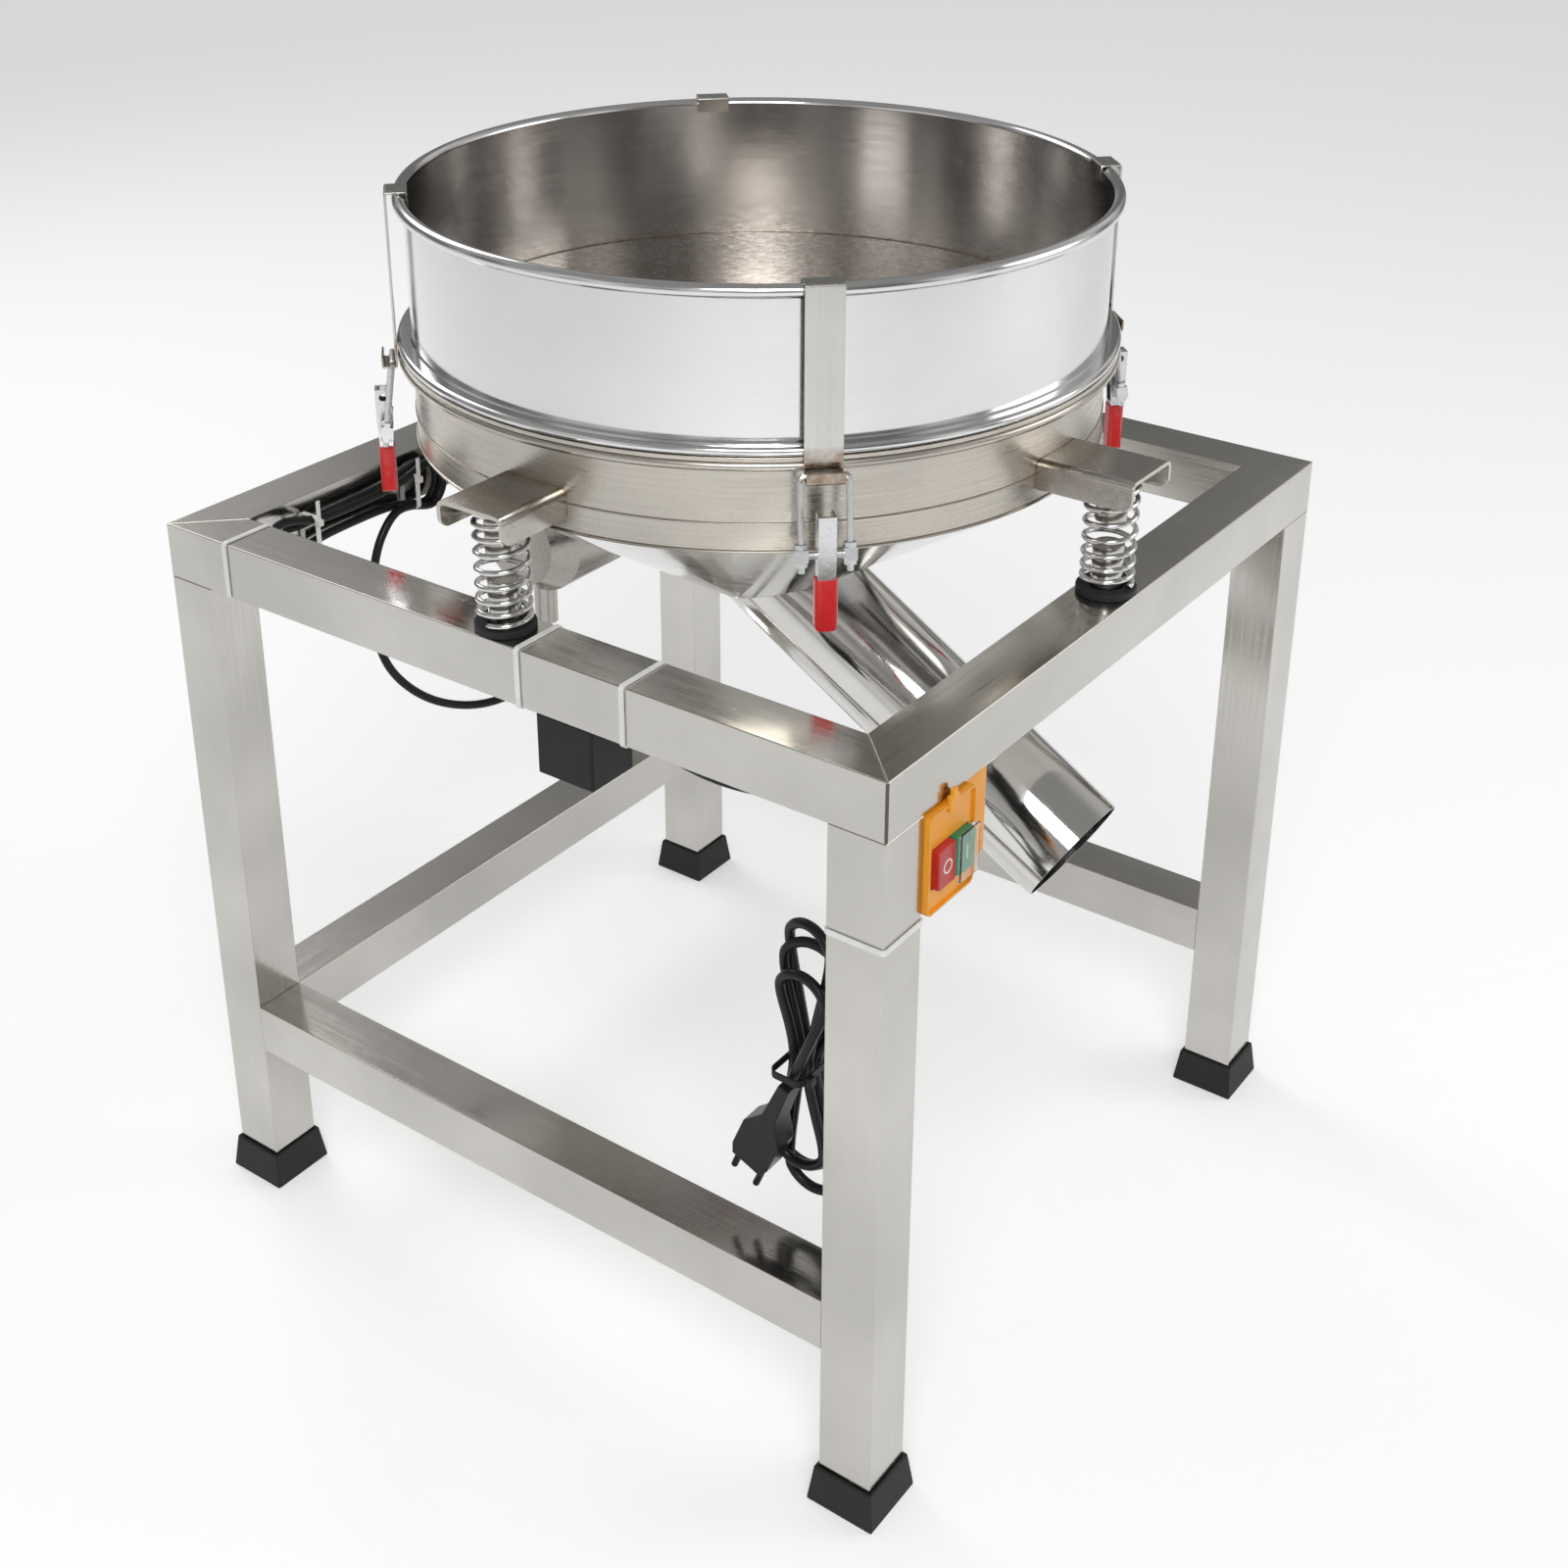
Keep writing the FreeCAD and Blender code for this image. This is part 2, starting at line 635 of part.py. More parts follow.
def pan():
    """The lower pan wall with its flange and the four latch bases."""
    dish = body("pan")
    wall = sketch(dish, "XZ_Plane", "Wall")
    low = "(pan_flange_top - flange_height)"
    inner = "pan_radius - sheet_wall"
    ring = flange_corners(low, "pan_flange_top")
    outline(wall, [(inner, "pan_bottom"), ("pan_radius", "pan_bottom"), ("pan_radius", low)]
            + ring[1:])
    revolution(dish, wall)
    plate = latch_base_plate(dish)
    ears = latch_base_ears(dish)
    pin = latch_base_pin(dish)
    ring_of_four = dish.newObject("PartDesign::PolarPattern", "FourBases")
    ring_of_four.Originals = [plate, ears, pin]
    ring_of_four.Axis = (next(f for f in dish.Origin.OriginFeatures if f.Role == "Z_Axis"), [""])
    ring_of_four.Angle = 360
    ring_of_four.Occurrences = len(LATCHES)
    dish.Tip = ring_of_four
    dish.Placement = turned(45)
    return node(dish, "pan")


def latch_base_plate(dish):
    """The back plate of a latch base, seated on the round wall."""
    flat = sketch(dish, "XZ_Plane", "BasePlate")
    low = "latch_pivot_height - base_below"
    rectangle(flat, "pan_radius - sheet_wall / 2", "pan_radius + ear_sheet",
              low, f"{low} + base_height")
    return pad(dish, flat, "base_width", both=True)


def latch_base_ears(dish):
    """Two ears that stand out of the plate and carry the pivot pin."""
    flat = sketch(dish, "XY_Plane", "Ears", "latch_pivot_height - ear_radius")
    inner = "lever_width / 2 + running_gap"
    outer = f"{inner} + ear_sheet"
    tip = "pan_radius + latch_pivot_reach + ear_tip"
    for sign in ("", "-"):
        ends = (f"{sign}({inner})", f"{sign}({outer})")
        rectangle(flat, "pan_radius + ear_sheet / 2", tip, *sorted(ends, key=value))
    return pad(dish, flat, "2 * ear_radius")


def latch_base_pin(dish):
    """The pivot pin across the ears."""
    flat = sketch(dish, "XZ_Plane", "Pin")
    circle(flat, "pan_radius + latch_pivot_reach", "latch_pivot_height", "latch_pin / 2")
    return pad(dish, flat, "lever_width + 2 * running_gap + 3 * ear_sheet", both=True)


CONE_TIP = "(chute_start - chute_diameter / 2 / cos(chute_slope) - cone_tip_drop)"
CONE_RISE = f"(pan_bottom - {CONE_TIP})"


def cone_solid(name, tip, radius):
    """A solid cone that stands on its tip and ends at the pan wall."""
    solid = doc.addObject("Part::Cone", name)
    solid.Radius1 = 0
    bind(solid, "Radius2", radius)
    bind(solid, "Height", f"pan_bottom - ({tip})")
    bind(solid, "Placement.Base.z", tip)
    return solid


def chute_rod(name, radius, length):
    """A cylinder on the chute's axis."""
    lean = Rotation(X_AXIS, 90 + value("chute_slope"))
    return cylinder(name, radius, length, z="chute_start", rotation=lean)


def cone():
    """The shallow cone under the pan with the hanger of the motor welded on."""
    thick = f"sheet_wall * sqrt(1 + pow({CONE_RISE} / pan_radius; 2))"
    outer = cone_solid("ConeOutside", CONE_TIP, "pan_radius")
    raised = f"{CONE_TIP} + {thick}"
    inner = cone_solid("ConeInside", raised,
                       f"pan_radius * (pan_bottom - ({raised})) / {CONE_RISE}")
    shell = cut("ConeShell", outer, inner)
    bore = chute_rod("ConeMouth", "chute_diameter / 2 - chute_wall", "pan_radius")
    mouth = cut("ConeWithMouth", shell, bore)
    welded = fused("ConeAndHanger", [mouth, motor_hanger()])
    return node(welded, "cone")


MOUNT_LOW = "(motor_height + motor_radius + mount_plate)"


def motor_hanger():
    """Two cheeks under the cone and the plate that the motor is bolted to."""
    half = "mount_width / 2"
    front = "(motor_back - mount_depth / 2)"
    back = "(motor_back + mount_depth / 2)"
    plate = box("HangerPlate", f"-{half}", half, front, back,
                MOUNT_LOW, f"{MOUNT_LOW} + mount_plate")
    left = box("HangerLeft", f"-{half}", f"-{half} + mount_plate", front, back,
               MOUNT_LOW, "pan_bottom - sheet_wall")
    right = box("HangerRight", f"{half} - mount_plate", half, front, back,
                MOUNT_LOW, "pan_bottom - sheet_wall")
    frame = fused("HangerPlates", [plate, left, right])
    return cut("Hanger", frame, cone_solid("HangerTrim", CONE_TIP, "pan_radius"))


def chute():
    """A round tube whose upper end is cut to sit against the cone."""
    tube = chute_rod("ChuteOutside", "chute_diameter / 2", "chute_length")
    bore = chute_rod("ChuteBore", "chute_diameter / 2 - chute_wall", "chute_length + cut_over")
    pipe = cut("ChutePipe", tube, bore)
    trimmed = cut("ChuteTrimmed", pipe, cone_solid("ChuteTrim", CONE_TIP, "pan_radius"))
    return node(trimmed, "chute")


def screen():
    """The ring between the two flanges with the mesh stretched across it."""
    disc = body("screen")
    section = sketch(disc, "XZ_Plane", "Section")
    low = "pan_flange_top"
    high = "pan_flange_top + screen_ring"
    inner = "(pan_radius - sheet_wall)"
    middle = f"{low} + (screen_ring - screen_mesh) / 2"
    outer = f"{FLANGE_RADIUS} - screen_mesh"
    outline(section, [("0", middle), (inner, middle), (inner, low), (outer, low), (outer, high),
                      (inner, high), (inner, f"{middle} + screen_mesh"),
                      ("0", f"{middle} + screen_mesh")])
    revolution(disc, section)
    return node(disc, "screen")


def hopper():
    """The upper drum: a straight wall, a flange below and a rolled rim on top."""
    drum = body("hopper")
    wall = sketch(drum, "XZ_Plane", "Wall")
    high = f"({HOPPER_LOW} + flange_height)"
    inner = "pan_radius - sheet_wall"
    middle = "(hopper_top - rim_radius)"
    meets = "acos(sheet_wall / rim_radius - 1)"
    rolled = []
    for i in range(COUNTS["rim_chords"] + 1):
        angle = f"(180 deg - {i} * (180 deg + {meets}) / rim_chords)"
        rolled.append((f"{inner} + rim_radius + rim_radius * cos({angle})",
                       f"{middle} + rim_radius * sin({angle})"))
    ring = flange_corners(HOPPER_LOW, high)
    outline(wall, ring[:-1] + [("pan_radius", high)] + rolled[::-1])
    revolution(drum, wall)
    return node(drum, "hopper")


# ---------------------------------------------------------------- clamp straps and latches
STRAP_IN = f"({FLANGE_RADIUS} + running_gap)"
STRAP_OUT = f"({STRAP_IN} + strap_sheet)"
LIP_IN = f"({STRAP_OUT} + hook_gap)"
RIM_INSIDE = "(pan_radius - sheet_wall - running_gap)"


def strap(corner):
    """A sheet strap folded over the rim above and into a hook for the U bolt below."""
    band = body(f"strap_{corner}")
    side = sketch(band, "XZ_Plane", "Side")
    top = "(hopper_top + running_gap)"
    high = f"{top} + strap_sheet"
    floor = "strap_bottom + strap_sheet"
    lip = f"{floor} + hook_lip"
    inside = f"{RIM_INSIDE} - strap_sheet"
    end = f"{top} - strap_return"
    outline(side, [(STRAP_IN, "strap_bottom"), (f"{LIP_IN} + strap_sheet", "strap_bottom"),
                   (f"{LIP_IN} + strap_sheet", lip), (LIP_IN, lip), (LIP_IN, floor),
                   (STRAP_OUT, floor), (STRAP_OUT, high), (inside, high), (inside, end),
                   (RIM_INSIDE, end), (RIM_INSIDE, top), (STRAP_IN, top)])
    folded = pad(band, side, "strap_width", both=True)

    def outer_fold(edge):
        middle = edge.CenterOfMass
        outside = (value(STRAP_OUT), value(f"{LIP_IN} + strap_sheet"), value(inside),
                   value(STRAP_IN))
        edges = {(round(outside[0], 2), round(value(high), 2)),
                 (round(outside[1], 2), round(value("strap_bottom"), 2)),
                 (round(outside[2], 2), round(value(high), 2)),
                 (round(outside[3], 2), round(value("strap_bottom"), 2))}
        return along(Y_AXIS)(edge) and (round(middle.x, 2), round(middle.z, 2)) in edges

    rounded(band, folded, "strap_fold", outer_fold)
    band.Placement = turned(LATCHES[corner])
    return node(band, f"strap_{corner}")


PIVOT_R = "(pan_radius + latch_pivot_reach)"
BAR_R = f"({STRAP_OUT} + running_gap + bolt_wire / 2)"
BAR_Z = "(strap_bottom + strap_sheet + hook_play + bolt_wire / 2)"
TRUNNION_R = f"({PIVOT_R} - lever_inset)"
TRUNNION_Z = "(latch_pivot_height - lever_arm)"


def lever(corner):
    """The folded lever: a channel open to the pan, drawn about its pivot."""
    arm = body(f"lever_{corner}")
    side = sketch(arm, "XZ_Plane", "Side")
    half = "lever_depth / 2"
    neck = "(lever_reach - grip_length)"
    end = "-lever_reach + lever_sheet * 2"
    outer = [(half, half), (half, "-lever_shoulder"), ("lever_waist / 2", f"-{neck}"),
             ("lever_tongue / 2", f"-{neck}"), ("lever_tongue / 2", end)]
    inner = [(f"-{x}", z) for x, z in reversed(outer)]
    outline(side, outer + inner)
    pad(arm, side, "lever_width", both=True)
    channel = sketch(arm, "XZ_Plane", "Channel")
    rectangle(channel, f"-{half} - cut_over", f"{half} - lever_sheet",
              f"-{neck} + lever_sheet * 2", f"{half} + cut_over")
    pocket(arm, channel, "lever_width - 2 * lever_sheet", both=True)
    bores = sketch(arm, "XZ_Plane", "Bores")
    circle(bores, "0", "0", "latch_pin / 2 + running_gap")
    circle(bores, "-lever_inset", "-lever_arm", "trunnion_pin / 2 + running_gap")
    pocket(arm, bores, "lever_width + cut_over", both=True)
    arm.Placement = latch_place(corner)
    return node(arm, f"latch_lever_{corner}")


def latch_place(corner):
    """Where a lever stands when it is closed: turned to its corner, at its pivot."""
    reach = V(value(PIVOT_R), 0, value("latch_pivot_height"))
    return turned(LATCHES[corner]).multiply(Placement(reach, Rotation()))


def grip(corner):
    """The red sleeve pushed over the end of the lever."""
    sleeve = body(f"grip_{corner}")
    side = sketch(sleeve, "XZ_Plane", "Side")
    half = "grip_depth / 2"
    neck = "(lever_reach - grip_length)"
    rectangle(side, f"-{half}", half, "-lever_reach", f"-{neck}")
    block = pad(sleeve, side, "grip_width", both=True)

    def lower_corner(edge):
        middle = edge.CenterOfMass
        low = abs(middle.z + value("lever_reach")) < 0.01
        upright = along(Z_AXIS)(edge)
        return upright or (low and along(X_AXIS)(edge))

    rounded(sleeve, block, "grip_corner", lower_corner)
    tongue = sketch(sleeve, "XY_Plane", "Tongue", f"-{neck}")
    rectangle(tongue, "-lever_tongue / 2", "lever_tongue / 2",
              "-lever_width / 2", "lever_width / 2")
    pocket(sleeve, tongue, "grip_length - lever_sheet * 2")
    sleeve.Placement = latch_place(corner)
    return node(sleeve, f"latch_grip_{corner}")


def bolt(corner):
    """The U bolt: two threaded arms and a bar, held by nuts in a trunnion."""
    rise = value(f"{BAR_Z} - {TRUNNION_Z}")
    inward = value(f"{TRUNNION_R} - {BAR_R}")
    lean = math.degrees(math.atan2(inward, rise))
    length = f"sqrt(pow({BAR_Z} - {TRUNNION_Z}; 2) + pow({TRUNNION_R} - {BAR_R}; 2))"
    pieces = [bolt_wire(value(length)),
              cylinder("TrunnionPin", "trunnion_pin / 2", "bolt_spacing",
                       y="-bolt_spacing / 2", rotation=ALONG_Y)]
    for sign in ("-", ""):
        y = f"{sign}bolt_spacing / 2"
        pieces.append(box("Lug", "-lug_size / 2", "lug_size / 2", f"{y} - lug_size / 2",
                          f"{y} + lug_size / 2", "-lug_size / 2", "lug_size / 2"))
        for low in ("lug_size / 2", "-lug_size / 2 - nut_thickness"):
            nut = prism("Nut", "nut_across / sqrt(3)", "nut_thickness", low, "nut_flats")
            bind(nut, "Placement.Base.y", y)
            pieces.append(nut)
    whole = fused(f"bolt_{corner}", pieces)
    doc.recompute()
    reach = V(value(TRUNNION_R), 0, value(TRUNNION_Z))
    leaned = Placement(reach, Rotation(Y_AXIS, -lean))
    whole.Placement = turned(LATCHES[corner]).multiply(leaned)
    return node(whole, f"latch_bolt_{corner}")


def bolt_wire(length):
    """The bent wire of a U bolt: two arms and a bar, with eight flats and stepped bends."""
    half = value("bolt_spacing / 2")
    bend = value("bolt_bend")
    right = [V(0, half, -value("bolt_tail"))]
    steps = COUNTS["bend_steps"]
    for step in range(steps + 1):
        turn = math.pi / 2 * step / steps
        right.append(V(0, half - bend + bend * math.cos(turn),
                       length - bend + bend * math.sin(turn)))
    left = [V(0, -point.y, point.z) for point in reversed(right)]
    wire = doc.addObject("Part::Feature", "BoltWire")
    wire.Shape = swept(right + left, flats(value("bolt_wire"), COUNTS["bolt_flats"]))
    return wire


# ---------------------------------------------------------------- motor
HALF_MOTOR = "motor_length / 2"
COVER_JOINT = f"({HALF_MOTOR} - cover_length)"


def motor_place():
    return at(0, value("motor_back"), value("motor_height"))


def motor_body():
    """The motor housing with its two end covers, its foot and its cable gland."""
    shell = body("motor")
    section = sketch(shell, "XY_Plane", "Section")
    outer = "motor_radius"
    inner = "motor_radius - motor_wall"
    end = HALF_MOTOR
    joint = COVER_JOINT
    bearing = "shaft_radius + running_gap"
    blind = f"({end} - motor_wall)"
    floor = f"({end} - 2 * motor_wall)"
    narrow = "cover_end_radius - motor_wall"
    outside = [(end, "0"), (end, "cover_end_radius"), (joint, outer)]
    inside = [(joint, inner), (floor, narrow), (floor, bearing), (blind, bearing), (blind, "0")]
    left_outside = [(f"-{x}", y) for x, y in outside]
    left_inside = [(f"-{x}", y) for x, y in inside]
    outline(section, left_outside + outside[::-1] + inside[::-1] + left_inside)
    revolution(shell, section, "H_Axis")
    foot_flat = sketch(shell, "XY_Plane", "Foot", "motor_radius - mount_root")
    rectangle(foot_flat, "-mount_width / 2", "mount_width / 2",
              "-mount_depth / 2", "mount_depth / 2")
    pad(shell, foot_flat, "mount_root + mount_plate")
    low = "-motor_radius - motor_gland_length"
    gland = sketch(shell, "XY_Plane", "Gland", low)
    circle(gland, "-motor_gland_side", "0", "motor_gland_radius")
    pad(shell, gland, "motor_gland_length + motor_wall / 2")
    entry = sketch(shell, "XY_Plane", "Entry", low)
    circle(entry, "-motor_gland_side", "0", "cable_diameter / 2 + running_gap")
    pocket(shell, entry, "motor_gland_length", reverse=True)
    shell.Placement = motor_place()
    return node(shell, "motor_housing")


def rotor():
    """The shaft with its core and two eccentric weights, one at each end."""
    spin = body("rotor")
    section = sketch(spin, "XY_Plane", "Section")
    half_shaft = f"({HALF_MOTOR} - motor_wall - running_gap)"
    half_core = "rotor_length / 2"
    outline(section, [(f"-{half_shaft}", "0"), (f"-{half_shaft}", "shaft_radius"),
                      (f"-{half_core}", "shaft_radius"), (f"-{half_core}", "rotor_radius"),
                      (half_core, "rotor_radius"), (half_core, "shaft_radius"),
                      (half_shaft, "shaft_radius"), (half_shaft, "0")])
    revolution(spin, section, "H_Axis")
    for sign in ("-", ""):
        place = f"{sign}(rotor_length / 2 + weight_gap + weight_thickness / 2)"
        flat = sketch(spin, "YZ_Plane", "Weight", place)
        half_disc(flat, "weight_radius")
        pad(spin, flat, "weight_thickness", both=True)
    spin.Placement = motor_place()
    return node(spin, "rotor")


def half_disc(flat, radius):
    """The lower half of a disc."""
    reach = value(radius)
    line = flat.addGeometry(Part.LineSegment(V(-reach, 0, 0), V(reach, 0, 0)))
    round_edge = Part.Circle(V(), Z_AXIS, reach)
    arc = flat.addGeometry(Part.ArcOfCircle(round_edge, math.pi, 2 * math.pi))
    flat.addConstraint(Sketcher.Constraint("Coincident", line, 1, arc, 1))
    flat.addConstraint(Sketcher.Constraint("Coincident", line, 2, arc, 2))
    flat.addConstraint(Sketcher.Constraint("Coincident", arc, 3, -1, 1))
    flat.addConstraint(Sketcher.Constraint("Horizontal", line))
    dimension(flat, "Radius", (arc,), radius)


# ---------------------------------------------------------------- switch and junction box
SWITCH_LEFT = f"(-{SIDE_CENTRE} + tube / 2)"
SWITCH_FRONT = "(-frame_depth / 2 + switch_inset)"
PLATE_FRONT = f"({SWITCH_FRONT} - plate_thick)"
PLATE_LEFT = f"({SWITCH_LEFT} + running_gap)"
PLATE_MIDDLE = f"({PLATE_LEFT} + plate_width / 2)"
PLATE_HIGH = f"({RAIL_BOTTOM} - plate_drop)"
BUTTON_Z = f"({PLATE_HIGH} - plate_tall / 2 - button_low)"
WELL_HALF = "(button_width + button_gap / 2 + running_gap)"
WELL_TALL = "(button_tall / 2 + running_gap)"


GLAND_X = f"({SWITCH_LEFT} + gland_side)"
GLAND_Y = f"({SWITCH_FRONT} + gland_back)"
GLAND_END = f"({RAIL_BOTTOM} - switch_tall - gland_length)"


def switch_plate():
    """The yellow plate with a window for the two buttons."""
    plate = body("plate")
    face = sketch(plate, "XZ_Plane", "Face")
    rectangle(face, PLATE_LEFT, f"{PLATE_LEFT} + plate_width",
              f"{PLATE_HIGH} - plate_tall", PLATE_HIGH)
    bind(face, "AttachmentOffset.Base.z", f"-{SWITCH_FRONT}")
    block = pad(plate, face, "plate_thick")
    rounded(plate, block, "plate_corner", along(Y_AXIS))
    window = sketch(plate, "XZ_Plane", "Window")
    bind(window, "AttachmentOffset.Base.z", f"-{SWITCH_FRONT} + plate_thick + cut_over")
    rectangle(window, f"{PLATE_MIDDLE} - {WELL_HALF}", f"{PLATE_MIDDLE} + {WELL_HALF}",
              f"{BUTTON_Z} - {WELL_TALL}", f"{BUTTON_Z} + {WELL_TALL}")
    pocket(plate, window, "plate_thick + 2 * cut_over")
    return plate


def switch_box():
    """The black housing against the leg and under the rail, with its plate and its gland."""
    outside = box("SwitchOutside", SWITCH_LEFT, f"{SWITCH_LEFT} + switch_width",
                  SWITCH_FRONT, f"{SWITCH_FRONT} + switch_deep",
                  f"{RAIL_BOTTOM} - switch_tall", RAIL_BOTTOM)
    well = box("SwitchWell", f"{PLATE_MIDDLE} - {WELL_HALF}", f"{PLATE_MIDDLE} + {WELL_HALF}",
               f"{SWITCH_FRONT} - cut_over", f"{SWITCH_FRONT} + well_floor",
               f"{BUTTON_Z} - {WELL_TALL}", f"{BUTTON_Z} + {WELL_TALL}")
    gland = doc.addObject("Part::Cone", "SwitchGland")
    bind(gland, "Radius1", "gland_tip")
    bind(gland, "Radius2", "gland_radius")
    bind(gland, "Height", "gland_length")
    bind(gland, "Placement.Base.x", GLAND_X)
    bind(gland, "Placement.Base.y", GLAND_Y)
    bind(gland, "Placement.Base.z", GLAND_END)
    housing = cut("SwitchHousing", outside, well)
    return node(fused("SwitchBox", [housing, gland, switch_plate()]), "switch_box")


def button(name, sign):
    """A push button that slides into the well of the housing."""
    key = body(name)
    face = sketch(key, "XZ_Plane", "Face")
    middle = f"({PLATE_MIDDLE} + {sign} * (button_width + button_gap) / 2)"
    rectangle(face, f"{middle} - button_width / 2", f"{middle} + button_width / 2",
              f"{BUTTON_Z} - button_tall / 2", f"{BUTTON_Z} + button_tall / 2")
    bind(face, "AttachmentOffset.Base.z", f"-{SWITCH_FRONT} - button_root")
    block = pad(key, face, "plate_thick + button_out + button_root")
    rounded(key, block, "button_gap * 2", along(Y_AXIS))
    return node(key, name)


def junction_box():
    """A black block under the left rail with a half-round notch at its front end."""
    left = f"(-{HALF_WIDTH})"
    right = f"({left} + box_width)"
    block = body("junction")
    flat = sketch(block, "XY_Plane", "Plan", f"{RAIL_BOTTOM} - box_tall")
    rectangle(flat, left, right, "-box_front", "-box_front + box_deep")
    solid = pad(block, flat, "box_tall")
    rounded(block, solid, "box_corner", along(Z_AXIS))
    notch = sketch(block, "XZ_Plane", "Notch")
    bind(notch, "AttachmentOffset.Base.z", "box_front + cut_over")
    circle(notch, f"({left} + {right}) / 2 + notch_offset", RAIL_BOTTOM, "box_notch")
    pocket(block, notch, "notch_depth + cut_over")
    return node(block, "junction_box")


# ---------------------------------------------------------------- cords
# Routes are steps on the grid, counted from the start of the cord or from its last point.
POWER_ROUTE = [(0, 0, 0), (-2, 2, -40), (-16, 24, -86), (-24, 50, -131)]
SWITCH_ROUTE = [(0, 0, 0), (2, -44, -5), (14, -94, -24), (34, -144, -24)]
MOTOR_ROUTE = [(0, 0, 0), (-13, 0, -54), (-17, -10, -102), (7, -25, -139), (45, -41, -159)]
MOTOR_END = [(-26, 9, -72), (0, 0, -46), (0, 0, 0)]


def place(x, y, z):
    return V(value(x), value(y), value(z))


def offsets(start, steps):
    grid = value("cord_grid")
    return [start + V(*step) * grid for step in steps]


def tube(name, route, diameter):
    """A cord along straight runs that tangent arcs join."""
    edges = []
    radii = []
    start = route[0]
    for before, corner, after in zip(route, route[1:], route[2:]):
        into = corner - before
        away = after - corner
        tangent = CORNER_SHARE * min(into.Length, away.Length)
        half_turn = into.getAngle(away) / 2
        radius = tangent / math.tan(half_turn)
        radii.append(radius)
        into.normalize()
        away.normalize()
        first = corner - into * tangent
        last = corner + away * tangent
        inward = (away - into).normalize()
        middle = corner + inward * (radius / math.cos(half_turn) - radius)
        edges.append(Part.makeLine(start, first))
        edges.append(Part.Arc(first, middle, last).toShape())
        start = last
    edges.append(Part.makeLine(start, route[-1]))
    path = Part.Wire(edges)
    ring = Part.makeCircle(diameter / 2, route[0], route[1] - route[0])
    solid = path.makePipe(Part.Face(Part.Wire([ring])))
    expected = path.Length * math.pi * diameter ** 2 / 4
    if abs(solid.Volume - expected) > expected / 100:
        raise ValueError(f"{name} has the wrong volume")
    print(f"{name}: length {path.Length:.0f}, radii", [round(radius) for radius in radii])
    cord = doc.addObject("Part::Feature", name)
    cord.Shape = solid
    return node(cord, name)


def power_cord():
    """The mains lead from its gland to the tie of its hank."""
    gland = place(GLAND_X, GLAND_Y, GLAND_END)
    tube("power_cord", offsets(gland, POWER_ROUTE), value("cord_diameter"))


def power_hank():
    """The folded mains lead: two lobes of turns and the tied stretch between them."""
    hank = body("power_hank")
    lobes = sketch(hank, "YZ_Plane", "Lobes")
    wide = "hank_width / 2"
    waist = "hank_waist / 2"
    crown = "hank_crown / 2"
    upper = [(wide, "hank_belly"), (wide, "hank_shoulder"), (crown, "hank_upper")]
    lower = [(crown, "-hank_lower"), (wide, "-hank_shoulder"), (wide, "-hank_belly")]
    right = lower + [(waist, "0")] + upper
    left = [(f"-{y}", z) for y, z in reversed(right)]
    outline(lobes, right + left)
    pad(hank, lobes, "hank_depth", both=True)
    band = sketch(hank, "XY_Plane", "Tie")
    rectangle(band, "-hank_depth / 2 - tie_overhang", "hank_depth / 2", f"-{waist}", waist)
    pad(hank, band, "tie_height", both=True)
    bind(hank, "Placement.Base.x", f"{GLAND_X} - hank_inset")
    bind(hank, "Placement.Base.y", f"{GLAND_Y} + hank_back")
    bind(hank, "Placement.Base.z", f"{GLAND_END} - hank_tie")
    return node(hank, "power_hank")


def power_plug():
    """The moulded plug with its tapered neck and two round pins, hanging from the tie."""
    plug = body("power_plug")
    side = sketch(plug, "YZ_Plane", "Side")
    right = [("plug_neck_top / 2", "0"), ("plug_neck_low / 2", "-plug_neck"),
             ("plug_width / 2", "-plug_shoulder"), ("plug_width / 2", "-plug_nose"),
             ("plug_face / 2", "-plug_length")]
    left = [(f"-{y}", z) for y, z in reversed(right)]
    outline(side, right + left)
    pad(plug, side, "plug_depth", both=True)
    for sign in ("-", ""):
        face = sketch(plug, "XY_Plane", "Pin", "-plug_length - pin_length")
        circle(face, "0", f"{sign}pin_spacing / 2", "pin_diameter / 2")
        pad(plug, face, "pin_length + pin_root")
    plug.Placement = Placement(V(), Rotation(X_AXIS, value("plug_lean")))
    beside = "(hank_depth + plug_depth) / 2 + plug_side"
    bind(plug, "Placement.Base.x", f"{GLAND_X} - hank_inset - {beside}")
    bind(plug, "Placement.Base.y", f"{GLAND_Y} + hank_back")
    bind(plug, "Placement.Base.z", f"{GLAND_END} - hank_tie - tie_height / 2 + plug_hold")
    return node(plug, "power_plug")


def switch_cable():
    """The cable that sags under the left rail from the junction box to the switch."""
    notch = place(f"-{HALF_WIDTH} + box_width / 2 + notch_offset", "-box_front + notch_depth",
                  f"{RAIL_BOTTOM} - box_notch / 2")
    back = place(f"{SWITCH_LEFT} + cable_side", f"{SWITCH_FRONT} + switch_deep",
                 f"{RAIL_BOTTOM} - cable_drop")
    tube("switch_cable", offsets(notch, SWITCH_ROUTE) + [back], value("cable_diameter"))


BUNDLE_BACK = f"({HALF_DEPTH} - tube - running_gap)"


